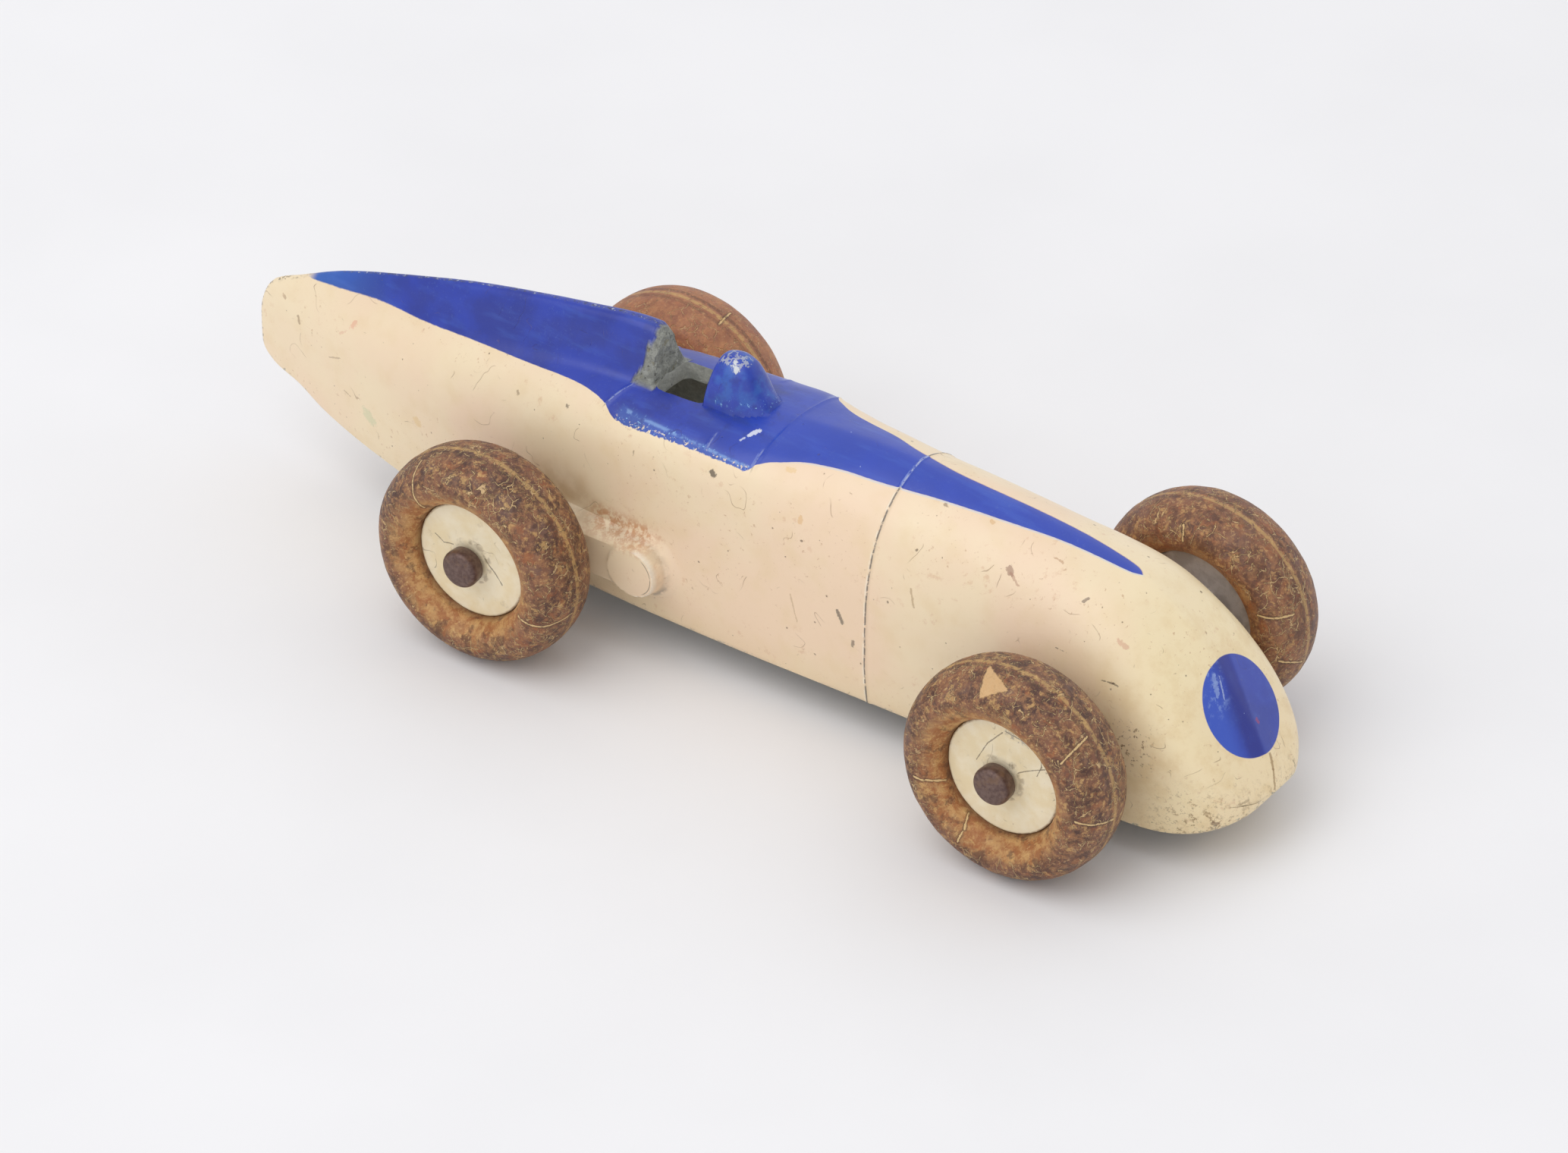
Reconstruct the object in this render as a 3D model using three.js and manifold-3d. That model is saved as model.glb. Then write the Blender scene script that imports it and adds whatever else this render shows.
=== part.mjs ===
// Die-cast toy racing car, 94 mm long: a hollow one-piece body casting, two wire axles,
// and four cast hubs with solid rubber tyres. Millimetres, +X to the nose, +Z up, the
// origin on the ground under the middle of the car.
import * as THREE from "three";
import { mergeVertices } from "three/addons/utils/BufferGeometryUtils.js";
import Module from "manifold-3d";

const wasm = await Module();
wasm.setup();

// Driving dimensions
const TAIL_S = -0.4; // the tail's end; the nose's tip is at NOSE_S
const NOSE_S = 93.6;
const MIDDLE_S = (TAIL_S + NOSE_S) / 2;
const FRONT_AXLE_X = 32.2;
const REAR_AXLE_X = -15.8;
const TYRE_RADIUS = 8.8;
const TRACK = 26.2; // between the tyres' middle planes
const AXLE_RADIUS = 0.8;
const BORE_RADIUS = 0.88;
const AXLE_TIP_Y = 16.6;
const HUB_FACE_RADIUS = 4.83;
const HUB_HALF_WIDTH = 1.55;
const WALL = 1.4; // casting thickness
const BOSS_FACE_Y = 8.5;
const HEADREST_FACE_X = -7.9;
const SCREEN_BACK_X = -3.2;
const COCKPIT_HALF_WIDTH = 2.2;

// Colours of the enamel, the bare casting, the perished rubber and the axle wire
const CREAM = 0xe6cda6;
const RUBBER = 0x7d4a26;
const STEEL = 0x5a4a42;

// Body curves: each is a height, half-width or power against s, which is x plus MIDDLE_S
const DECK = [
  [-0.4, 12.0], [-0.2, 12.9], [0.5, 14.4], [1.3, 15.1], [4, 15.9], [10, 17.2], [18, 18.8],
  [26, 19.9], [34, 20.7], [40, 20.9], [46, 21.1], [50, 21.35], [54, 21.65], [58, 21.8],
  [62, 21.65], [70, 21.2], [76, 20.5], [81.2, 19.2], [84.5, 17.15], [87.6, 14.2],
  [90, 11.1], [91.7, 8.7], [93, 6.8], [93.6, 5.5],
];
const KEEL = [
  [-0.4, 10.2], [-0.2, 9.3], [0.3, 8.5], [1.4, 7.8], [3.9, 7.2], [6.8, 6.0], [10.6, 5.05],
  [14.5, 4.4], [20, 3.6], [27, 3.05], [36, 3.0], [76, 3.0], [84, 2.5], [87, 2.55],
  [89.5, 2.85], [91.3, 3.4], [92.7, 4.2], [93.6, 5.35],
];
const HALF_WIDTH = [
  [-0.4, 0.25], [-0.1, 0.42], [0.7, 0.6], [4, 1.35], [10, 2.6], [18, 4.1], [26, 5.35], [34, 6.2],
  [42, 6.7], [52, 6.9], [61, 6.85], [70, 6.9], [80, 7.3],
];
const WIDEST_Z = [
  [-0.4, 11.2], [20, 11.8], [45, 11.8], [61, 11.2], [75, 9.5], [85, 7.0], [90, 6.1], [93.6, 5.42],
];
const SQUARENESS = [
  [-0.4, 2.4], [26, 2.7], [34, 4.2], [38, 6.5], [49, 7.5], [52.5, 4.6], [56, 3.1], [61, 2.4],
  [72, 2.4], [81, 3.4], [88, 3.7], [93.6, 3.7],
];
const TUCK = [[-0.4, 0.1], [72, 0.1], [84, 0.02], [93.6, 0.15]];
// Top line of the tail's spine, which ends as the headrest, how far it spreads, and how square it is
const SPINE = [
  [-0.4, 12.0], [-0.2, 13.1], [0.4, 14.5], [1.2, 15.4], [3.9, 16.7], [7.7, 18.4], [13.4, 20.2],
  [19.9, 22.0], [25.6, 23.2], [31.3, 24.2], [36.9, 24.9], [37.7, 24.9], [38.3, 24.3],
  [38.6, 23.2], [38.8, 20.8], [93.6, 0],
];
const SPINE_SPREAD = [[-0.4, 0.6], [4, 0.9], [10, 1.2], [20, 1.45], [38, 1.65]];
const SPINE_POWER = [[-0.4, 2.0], [20, 2.2], [38, 3.5]];
// Top line of the cowl in front of the cockpit, and its half-width
const COWL = [
  [-0.4, 0], [43.2, 0], [43.4, 23.4], [43.9, 24.55], [45.1, 24.9], [46.1, 24.6], [46.8, 23.8],
  [47.5, 22.6], [48.3, 21.4], [48.8, 0], [93.6, 0],
];
const COWL_HALF_WIDTH = [[43.2, 2.25], [45.2, 2.3], [46.5, 2.0], [47.6, 1.5], [48.7, 0.7]];
// Slope of the soft crease along the top of the bonnet and nose
const CREASE = [[-0.4, 0], [48, 0], [53, 0.14], [80, 0.14], [86, 0.2], [93.6, 0.2]];

// Stations of the loft, closer together where the body turns quickly
const STATIONS = [
  TAIL_S, -0.2, 0.1, 0.5, 1.2, 2.4, 4, 7, 10, 14, 18, 22, 26, 30, 34, 36.5, 37.7, 38.3, 38.6, 38.8,
  41, 43.2, 43.4, 43.9, 45.1, 46.1, 46.8, 47.5, 48.2, 50, 52.5, 56, 61, 66, 71, 75, 78.5, 81.2, 83,
  84.5, 86, 87.6, 89, 90.2, 91.2, 92, 92.6, 93.2, NOSE_S,
];
// Points across the arch as shares of its half-width, closer together at the crown and the shoulder
const ARCH = [0, 0.06, 0.13, 0.2, 0.27, 0.35, 0.46, 0.6, 0.73, 0.84, 0.92, 0.97, 1];
const FLANK_STEPS = 5;

const NOSE_START = 80;

// Monotone cubic through the points of one of the tables above
function along(table, x) {
  const last = table.length - 1;
  if (x <= table[0][0]) return table[0][1];
  if (x >= table[last][0]) return table[last][1];
  let i = 0;
  while (x > table[i + 1][0]) i += 1;
  const slope = (k) => (table[k + 1][1] - table[k][1]) / (table[k + 1][0] - table[k][0]);
  const tangent = (k) => {
    if (k === 0) return slope(0);
    if (k === last) return slope(last - 1);
    const before = slope(k - 1);
    const after = slope(k);
    return before * after <= 0 ? 0 : (2 * before * after) / (before + after);
  };
  const span = table[i + 1][0] - table[i][0];
  const t = (x - table[i][0]) / span;
  const rise = table[i + 1][1] - table[i][1];
  const a = tangent(i) * span;
  const b = tangent(i + 1) * span;
  return table[i][1] + a * t + (3 * rise - 2 * a - b) * t * t + (a + b - 2 * rise) * t * t * t;
}

// Half-width of the body: the table, then the blunt round of the nose in plan
function halfWidth(s) {
  const width = along(HALF_WIDTH, s);
  if (s <= NOSE_START) return width;
  const t = Math.min(1, (s - NOSE_START) / (NOSE_S - NOSE_START));
  return Math.max(0.25, width * Math.pow(1 - Math.pow(t, 4.8), 0.52));
}

// Height of the plain arch over the body at distance y from the middle
function archHeight(s, y, width, crown) {
  const waist = along(WIDEST_Z, s);
  const across = Math.min(1, y / width);
  const plain = waist + (crown - waist) * Math.pow(1 - across * across, 1 / along(SQUARENESS, s));
  return plain - along(CREASE, s) * y * Math.exp(-(y * y) / 10) * Math.min(1, crown - waist);
}

// The arch with the spine and the cowl that stand on it
function topHeight(s, y, width) {
  const deck = along(DECK, s);
  const arch = archHeight(s, y, width, deck);
  const spread = Math.pow(y / along(SPINE_SPREAD, s), along(SPINE_POWER, s));
  const spine = Math.max(0, along(SPINE, s) - deck) * Math.exp(-spread);
  const across = Math.min(1, y / along(COWL_HALF_WIDTH, s));
  const cowl = Math.max(0, along(COWL, s) - deck) * Math.pow(1 - Math.pow(across, 2.4), 0.7);
  return arch + spine + cowl;
}

// Right-hand half of the body's section at s, set in by inset: [y, z] from crown to keel
function halfSection(s, inset) {
  const width = halfWidth(s) - inset;
  const waist = along(WIDEST_Z, s);
  const keel = along(KEEL, s);
  const points = [];
  for (const share of ARCH) {
    const y = width * share;
    const z = inset === 0 ? topHeight(s, y, width) : archHeight(s, y, width, along(DECK, s) - inset);
    points.push([y, z]);
  }
  for (let i = 1; i <= FLANK_STEPS; i += 1) {
    const drop = i / FLANK_STEPS;
    points.push([width * (1 - along(TUCK, s) * drop * drop * drop), waist - (waist - keel) * drop]);
  }
  return points;
}

// Closed loft through rings of equal length, each ring a list of [y, z] at its own x
function loft(rings) {
  const positions = [];
  const index = [];
  const count = rings[0].ring.length;
  for (const { x, ring } of rings) for (const [y, z] of ring) positions.push(x, y, z);
  for (let i = 0; i + 1 < rings.length; i += 1) {
    for (let j = 0; j < count; j += 1) {
      const k = (j + 1) % count;
      const a = i * count + j;
      const b = i * count + k;
      index.push(a, b + count, b, a, a + count, b + count);
    }
  }
  const cap = (start, turn) => {
    const shape = rings[start / count].ring.map(([y, z]) => new THREE.Vector2(y, z));
    for (const [a, b, c] of THREE.ShapeUtils.triangulateShape(shape, [])) {
      index.push(start + a, start + (turn ? c : b), start + (turn ? b : c));
    }
  };
  cap(0, true);
  cap((rings.length - 1) * count, false);
  const geometry = new THREE.BufferGeometry();
  geometry.setAttribute("position", new THREE.Float32BufferAttribute(positions, 3));
  geometry.setIndex(index);
  return geometry;
}

// Whole ring from a half-section: down the right side, then up the left
function wholeRing(half) {
  const left = half.slice(1).map(([y, z]) => [-y, z]);
  return [...left, ...half.slice().reverse()].reverse();
}

function solid(geometry) {
  const bare = geometry.clone();
  bare.deleteAttribute("normal");
  bare.deleteAttribute("uv");
  const merged = mergeVertices(bare, 1e-4);
  const made = new wasm.Manifold(
    new wasm.Mesh({
      numProp: 3,
      vertProperties: merged.attributes.position.array,
      triVerts: new Uint32Array(merged.index.array),
    }),
  );
  return made;
}

function geometryOf(manifold) {
  const mesh = manifold.getMesh();
  const geometry = new THREE.BufferGeometry();
  geometry.setAttribute("position", new THREE.BufferAttribute(mesh.vertProperties, 3));
  geometry.setIndex(new THREE.BufferAttribute(mesh.triVerts, 1));
  return geometry;
}

// Block with rounded corners in plan, from z = low to z = high
function well(x0, x1, halfWidthY, low, high, corner) {
  const shape = new THREE.Shape();
  shape.moveTo(x0 + corner, -halfWidthY);
  shape.lineTo(x1 - corner, -halfWidthY);
  shape.absarc(x1 - corner, -halfWidthY + corner, corner, -Math.PI / 2, 0);
  shape.lineTo(x1, halfWidthY - corner);
  shape.absarc(x1 - corner, halfWidthY - corner, corner, 0, Math.PI / 2);
  shape.lineTo(x0 + corner, halfWidthY);
  shape.absarc(x0 + corner, halfWidthY - corner, corner, Math.PI / 2, Math.PI);
  shape.lineTo(x0, -halfWidthY + corner);
  shape.absarc(x0 + corner, -halfWidthY + corner, corner, Math.PI, 1.5 * Math.PI);
  const geometry = new THREE.ExtrudeGeometry(shape, {
    depth: high - low, bevelEnabled: false, curveSegments: 4,
  });
  return geometry.translate(0, 0, low);
}

function cylinderAlongY(x, z, radius, halfLength, segments) {
  return new THREE.CylinderGeometry(radius, radius, 2 * halfLength, segments).translate(x, 0, z);
}

// Long rounded fairing on both flanks over the rear axle, its face at BOSS_FACE_Y
function rearFairing() {
  const back = REAR_AXLE_X - 0.4;
  const front = -5.35;
  const z = 8.05;
  const radius = 2.1;
  const shape = new THREE.Shape();
  shape.moveTo(back, z - radius);
  shape.lineTo(front, z - radius);
  shape.absarc(front, z, radius, -Math.PI / 2, Math.PI / 2);
  shape.lineTo(back, z + radius);
  shape.absarc(back, z, radius, Math.PI / 2, 1.5 * Math.PI);
  const bevel = 0.5;
  const geometry = new THREE.ExtrudeGeometry(shape, {
    depth: 2 * (BOSS_FACE_Y - bevel), bevelThickness: bevel, bevelSize: bevel, bevelOffset: -bevel,
    bevelSegments: 2, curveSegments: 10,
  });
  return geometry.rotateX(Math.PI / 2).translate(0, BOSS_FACE_Y - bevel, 0);
}

// Hollow in the underside: the section set in by the wall, carried down past the keel
function cavity() {
  const rings = [];
  for (const s of [9, 14, 20, 27, 34, 44, 54, 64, 74, 80, 84, 86.5, 88.5]) {
    const half = halfSection(s, WALL).filter((_, i) => i % 2 === 0);
    half[half.length - 1][1] = -2;
    rings.push({ x: s - MIDDLE_S, ring: wholeRing(half) });
  }
  return loft(rings);
}

function bodyCasting() {
  const rings = STATIONS.map((s) => ({ x: s - MIDDLE_S, ring: wholeRing(halfSection(s, 0)) }));
  const frontBoss = cylinderAlongY(FRONT_AXLE_X, TYRE_RADIUS, 2.4, BOSS_FACE_Y, 24);
  let made = solid(loft(rings)).add(solid(rearFairing())).add(solid(frontBoss));
  made = made.subtract(solid(cavity()));
  made = made.subtract(
    solid(well(HEADREST_FACE_X + 0.1, SCREEN_BACK_X - 0.1, COCKPIT_HALF_WIDTH, 14, 30, 0.6)),
  );
  for (const x of [FRONT_AXLE_X, REAR_AXLE_X]) {
    made = made.subtract(solid(cylinderAlongY(x, TYRE_RADIUS, BORE_RADIUS, 20, 20)));
  }
  return geometryOf(made);
}

// Profile points are [radius, distance along the axle towards the outside]
function turned(profile, segments) {
  const points = [...profile, profile[0]].map(([r, y]) => new THREE.Vector2(r, y));
  return new THREE.LatheGeometry(points, segments);
}

function hubGeometry() {
  const collar = TRACK / 2 - BOSS_FACE_Y - 0.4;
  return turned(
    [
      [BORE_RADIUS, -collar], [1.9, -collar], [1.9, -HUB_HALF_WIDTH + 0.3], [3.9, -HUB_HALF_WIDTH],
      [HUB_FACE_RADIUS, -HUB_HALF_WIDTH + 0.1], [HUB_FACE_RADIUS, -HUB_HALF_WIDTH + 0.45], [4.3, -0.9],
      [4.3, 0.9], [HUB_FACE_RADIUS, HUB_HALF_WIDTH - 0.45], [HUB_FACE_RADIUS, HUB_HALF_WIDTH - 0.15],
      [HUB_FACE_RADIUS - 0.15, HUB_HALF_WIDTH], [2.0, HUB_HALF_WIDTH], [1.7, HUB_HALF_WIDTH + 0.2],
      [BORE_RADIUS, HUB_HALF_WIDTH + 0.2],
    ],
    28,
  );
}

function tyreGeometry() {
  const bulge = 3.3;
  const middle = 6.75;
  const profile = [[4.5, -0.5], [5.2, -1.2]];
  const steps = 10;
  for (let i = 0; i <= steps; i += 1) {
    const angle = -Math.PI / 2 - 0.75 + (i / steps) * (Math.PI + 1.5);
    const reach = TYRE_RADIUS - middle;
    profile.push([middle + reach * Math.cos(angle), bulge * Math.sin(angle)]);
  }
  profile.push([5.2, 1.2], [4.5, 0.5]);
  return turned(profile, 36);
}

// Wire axle: a domed head on the right end and a peened one on the left
function axleGeometry() {
  const shoulder = TRACK / 2 + HUB_HALF_WIDTH + 0.5;
  const tip = AXLE_TIP_Y;
  const points = [
    [0, -tip], [0.8, -tip + 0.08], [1.25, -tip + 0.2], [1.48, -tip + 0.42], [1.55, -tip + 0.75],
    [1.5, -shoulder - 0.1], [1.35, -shoulder], [AXLE_RADIUS, -shoulder], [AXLE_RADIUS, shoulder],
    [1.05, shoulder + 0.2], [1.2, shoulder + 0.8], [1.1, tip - 0.35], [0.7, tip - 0.05], [0, tip],
  ].map(([r, y]) => new THREE.Vector2(r, y));
  return new THREE.LatheGeometry(points, 20);
}

function named(name, geometry, color, roughness, metalness) {
  const material = new THREE.MeshStandardMaterial({ color, roughness, metalness });
  const mesh = new THREE.Mesh(geometry, material);
  mesh.name = name;
  return mesh;
}

const car = new THREE.Group();
car.add(named("body_casting", bodyCasting(), CREAM, 0.45, 0.0));
for (const [end, x] of [["front", FRONT_AXLE_X], ["rear", REAR_AXLE_X]]) {
  const axle = named(end + "_axle", axleGeometry(), STEEL, 0.45, 0.9);
  axle.position.set(x, 0, TYRE_RADIUS);
  car.add(axle);
  for (const [side, sign] of [["right", -1], ["left", 1]]) {
    const wheel = new THREE.Group();
    wheel.add(named(end + "_" + side + "_hub", hubGeometry(), CREAM, 0.5, 0.0));
    wheel.add(named(end + "_" + side + "_tyre", tyreGeometry(), RUBBER, 0.75, 0.0));
    wheel.position.set(x, (sign * TRACK) / 2, TYRE_RADIUS);
    if (sign < 0) wheel.rotation.z = Math.PI;
    car.add(wheel);
  }
}

export default car;
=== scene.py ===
"""Looks of an old die-cast toy racing car: a cream and blue hollow casting on four rubber-tyred wheels.

Meshes are built in millimetres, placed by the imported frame's boxes and written in metres in the row's
frame. +X is the nose, +Y the car's left side, +Z up. s runs along the car like x, from 0 near the tail.
Colours are hex strings in sRGB. Marks on the paint and the tyres lie at places given as (s, y, z).
"""
import math

import bmesh
import bpy
import numpy as np
from mathutils import Matrix, Vector


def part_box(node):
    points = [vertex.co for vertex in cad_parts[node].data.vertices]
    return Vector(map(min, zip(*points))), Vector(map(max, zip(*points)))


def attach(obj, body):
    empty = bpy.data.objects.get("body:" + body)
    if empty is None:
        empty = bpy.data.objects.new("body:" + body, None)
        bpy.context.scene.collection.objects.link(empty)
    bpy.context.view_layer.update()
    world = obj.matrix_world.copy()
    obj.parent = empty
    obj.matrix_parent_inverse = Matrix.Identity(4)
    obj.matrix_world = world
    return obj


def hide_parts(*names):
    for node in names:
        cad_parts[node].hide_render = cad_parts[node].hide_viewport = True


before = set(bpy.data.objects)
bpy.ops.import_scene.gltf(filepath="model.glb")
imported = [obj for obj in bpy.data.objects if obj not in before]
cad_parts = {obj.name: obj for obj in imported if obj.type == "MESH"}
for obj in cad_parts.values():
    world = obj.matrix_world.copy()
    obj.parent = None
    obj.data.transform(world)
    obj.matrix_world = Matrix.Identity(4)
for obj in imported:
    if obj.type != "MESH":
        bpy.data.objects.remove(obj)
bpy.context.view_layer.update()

MM = 0.001
BODY_LOW, BODY_HIGH = (np.array(corner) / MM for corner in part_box("body_casting"))
TAIL_S = -0.4
NOSE_S = 93.6
ZERO_X = BODY_LOW[0] - TAIL_S


def centre_of(node):
    """Middle of a CAD node's box, in millimetres."""
    low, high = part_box(node)
    return (np.array(low) + np.array(high)) / 2 / MM


def size_of(node):
    """Size of a CAD node's box, in millimetres."""
    low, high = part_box(node)
    return (np.array(high) - np.array(low)) / MM


TYRE_RADIUS = size_of("front_right_tyre")[2] / 2
FRONT_AXLE_S = centre_of("front_axle")[0] - ZERO_X
REAR_AXLE_S = centre_of("rear_axle")[0] - ZERO_X
AXLE_Z = centre_of("front_axle")[2]

# Casting, millimetres
WALL = 1.4
BORE_RADIUS = 0.88
BOSS_FACE_Y = 8.5
COCKPIT_BACK_S = 38.8
COCKPIT_FRONT_S = 43.3
COCKPIT_HALF_WIDTH = 2.2
BUTTON_FACE_Y = 8.55
LINE_HEIGHT = 0.1
LINE_WIDTH = 0.14
BONNET_LINE_S = 61.45
BUTTON_S = 41.15
BUTTON_Z = 8.1
HOLLOW_BACK_S = 9.0
HOLLOW_FRONT_S = 88.5


# ------------------------------------------------------------------ curves and smooth noise

def curve(table, s):
    """Monotone cubic through a table of (s, value), for an array of s."""
    xs = np.array([row[0] for row in table], float)
    ys = np.array([row[1] for row in table], float)
    slopes = np.diff(ys) / np.diff(xs)
    tangents = np.concatenate([[slopes[0]], np.zeros(len(xs) - 2), [slopes[-1]]])
    before, after = slopes[:-1], slopes[1:]
    same_way = before * after > 0
    total = np.where(same_way, before + after, 1.0)
    tangents[1:-1] = np.where(same_way, 2 * before * after / total, 0.0)
    s = np.clip(np.asarray(s, float), xs[0], xs[-1])
    i = np.clip(np.searchsorted(xs, s, side="right") - 1, 0, len(xs) - 2)
    span = xs[i + 1] - xs[i]
    t = (s - xs[i]) / span
    rise = ys[i + 1] - ys[i]
    a = tangents[i] * span
    b = tangents[i + 1] * span
    return ys[i] + a * t + (3 * rise - 2 * a - b) * t ** 2 + (a + b - 2 * rise) * t ** 3


def smoothed(table, s):
    """The curve averaged over 1 mm each way, less near the ends, so that its joints don't show."""
    s = np.asarray(s, float)
    reach = np.clip(np.minimum(s - TAIL_S, NOSE_S - s), 0.02, 1.0)
    shares = np.linspace(-1, 1, 7)
    weights = np.exp(-2 * shares ** 2)
    values = [curve(table, s + share * reach) for share in shares]
    return np.tensordot(weights / weights.sum(), np.array(values), axes=1)


def ramp(value, low, high):
    """Smooth step from 0 at low to 1 at high."""
    t = np.clip((value - low) / (high - low), 0, 1)
    return t * t * (3 - 2 * t)


def wobble(points, seed, wavelength, octaves=3):
    """Smooth random field in about -1..1: sums of sine waves in random directions."""
    rng = np.random.default_rng(seed)
    waves = 6
    total = np.zeros(len(points))
    size = 1.0
    for octave in range(octaves):
        for _ in range(waves):
            direction = rng.normal(size=3)
            direction /= np.linalg.norm(direction)
            phase = rng.uniform(0, 2 * math.pi)
            length = wavelength / 2 ** octave * rng.uniform(0.7, 1.4)
            total += size * np.sin(points @ direction * 2 * math.pi / length + phase)
        size *= 0.5
    return total / waves


# ------------------------------------------------------------------ body casting, shape tables

DECK = [
    (-0.4, 12.0), (-0.2, 12.9), (0.5, 14.4), (1.3, 15.1), (4, 15.9), (10, 17.2), (18, 18.8), (26, 19.9),
    (34, 20.7), (40, 20.9), (46, 21.1), (50, 21.35), (54, 21.65), (58, 21.8), (62, 21.65), (70, 21.2),
    (76, 20.5), (81.2, 19.2), (84.5, 17.15), (87.6, 14.2), (90, 11.1), (91.7, 8.7), (93, 6.8),
    (93.6, 5.5),
]
KEEL = [
    (-0.4, 10.2), (-0.2, 9.3), (0.3, 8.5), (1.4, 7.8), (3.9, 7.2), (6.8, 6.0), (10.6, 5.05),
    (14.5, 4.4), (20, 3.6), (27, 3.05), (36, 3.0), (76, 3.0), (84, 2.5), (87, 2.55), (89.5, 2.85),
    (91.3, 3.4), (92.7, 4.2), (93.6, 5.35),
]
HALF_WIDTH = [
    (-0.4, 0.25), (-0.1, 0.42), (0.7, 0.6), (4, 1.35), (10, 2.6), (18, 4.1), (26, 5.35), (34, 6.2),
    (42, 6.7), (52, 6.9), (61, 6.85), (70, 6.9), (80, 7.3),
]
WIDEST_Z = [
    (-0.4, 11.2), (20, 11.8), (45, 11.8), (61, 11.2), (75, 9.5), (85, 7.0), (90, 6.1), (93.6, 5.42),
]
SQUARENESS = [
    (-0.4, 2.4), (26, 2.7), (34, 4.2), (38, 6.5), (49, 7.5), (52.5, 4.6), (56, 3.1), (61, 2.4),
    (72, 2.4), (81, 3.4), (88, 3.7), (93.6, 3.7),
]
TUCK = [
    (-0.4, 0.1), (72, 0.1), (84, 0.02), (93.6, 0.15),
]
SPINE = [
    (-0.4, 12.0), (-0.2, 13.1), (0.4, 14.5), (1.2, 15.4), (3.9, 16.7), (7.7, 18.4), (13.4, 20.2),
    (19.9, 22.0), (25.6, 23.2), (31.3, 24.2), (36.9, 24.9), (37.7, 24.9), (38.3, 24.3), (38.6, 23.2),
    (38.8, 20.8), (93.6, 0),
]
SPINE_SPREAD = [
    (-0.4, 0.6), (4, 0.9), (10, 1.2), (20, 1.45), (38, 1.65),
]
COWL = [
    (-0.4, 0), (43.2, 0), (43.4, 23.4), (43.9, 24.55), (45.1, 24.9), (46.1, 24.6), (46.8, 23.8),
    (47.5, 22.6), (48.3, 21.4), (48.8, 0), (93.6, 0),
]
COWL_HALF_WIDTH = [
    (43.2, 2.25), (45.2, 2.3), (46.5, 2.0), (47.6, 1.5), (48.7, 0.7),
]
SPINE_POWER = [
    (-0.4, 2.0), (20, 2.2), (38, 3.5),
]
CREASE = [
    (-0.4, 0), (48, 0), (53, 0.14), (80, 0.14), (86, 0.2), (93.6, 0.2),
]
NOSE_START = 80.0
TOP_POINTS = 62
FLANK_POINTS = 44
KEEL_ROUND = 0.3


def half_width(s):
    """Half-width of the body in plan: the table, rounded at the tail's edge and blunt at the nose."""
    width = smoothed(HALF_WIDTH, s)
    t = np.clip((s - NOSE_START) / (NOSE_S - NOSE_START), 0, 1)
    nose = (1 - t ** 4.8) ** 0.52
    tail = np.sqrt(np.clip(1 - (1 - np.clip((s - TAIL_S) / 0.4, 0, 1)) ** 2, 0, 1))
    return np.maximum(0.03, width * nose * tail)


def section(s, inset, count_top, count_flank):
    """Half of the plain section at s, from crown to keel, at even spacing: arrays y and z."""
    width = float(half_width(s)) - inset
    crown = float(smoothed(DECK, s)) - inset
    waist = min(float(smoothed(WIDEST_Z, s)), crown - 0.02)
    keel = min(float(curve(KEEL, s)), waist - 0.02)
    power = float(smoothed(SQUARENESS, s))
    t = np.linspace(0, 1, 500)
    y_across = width * t[:-1]
    z_across = waist + (crown - waist) * (1 - t[:-1] ** 2) ** (1 / power)
    z_down = waist + (crown - waist) * t[::-1]
    y_down = width * np.sqrt(np.clip(1 - t[::-1] ** power, 0, 1))
    order = np.argsort(np.concatenate([y_across, y_down]), kind="stable")
    y = np.concatenate([y_across, y_down])[order]
    z = np.concatenate([z_across, z_down])[order]
    crease = float(curve(CREASE, s)) * (np.sqrt(y ** 2 + 0.04) - 0.2) * np.exp(-y ** 2 / 10)
    z = z - crease * min(1.0, crown - waist)
    run = np.concatenate([[0], np.cumsum(np.hypot(np.diff(y), np.diff(z)))])
    even = np.linspace(0, run[-1], count_top)
    y_top = np.interp(even, run, y)
    z_top = np.interp(even, run, z)
    drop = np.interp(np.linspace(0, 1, count_flank + 1)[1:], [0, 0.1, 0.82, 1], [0, 0.125, 0.74, 1])
    tuck = float(curve(TUCK, s))
    y_flank = width * (1 - tuck * drop ** 3)
    z_flank = waist - (waist - keel) * drop
    return np.concatenate([y_top, y_flank]), np.concatenate([z_top, z_flank])


def raised_line(distance):
    """Height of a worn casting line at this distance from its middle."""
    return LINE_HEIGHT * np.exp(-(distance / LINE_WIDTH) ** 2)


def casting_lines(s, y, z):
    """Height of the four raised lines cast into the body, and their share of full height."""
    side = np.abs(y)
    bonnet = raised_line(s - BONNET_LINE_S - 0.02 * (z - 15))
    behind = raised_line(s - (38.45 - 0.47 * side)) * ramp(side, 2.0, 2.4) * ramp(-side, -5.2, -4.6)
    middle = 0.6 * raised_line(s - 46.1) * ramp(side, 3.9, 4.3) * ramp(-side, -5.8, -5.2)
    front = 0.8 * raised_line(s - 50.6 + 0.1 * np.maximum(0, side - 4.5)) * ramp(-side, -6.0, -5.6)
    upper = ramp(z, 18.5, 19.4)
    return np.maximum.reduce([bonnet, behind * upper, middle * upper, front * upper])


def boss_share(s, z, back, front, centre_z, radius, soft):
    """1 on the flat face of a long rounded boss, 0 off it, with a fillet twice soft wide between."""
    along = s - np.clip(s, back, front)
    distance = np.hypot(along, z - centre_z) - radius
    return 1 - ramp(distance, -soft, soft)


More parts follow.
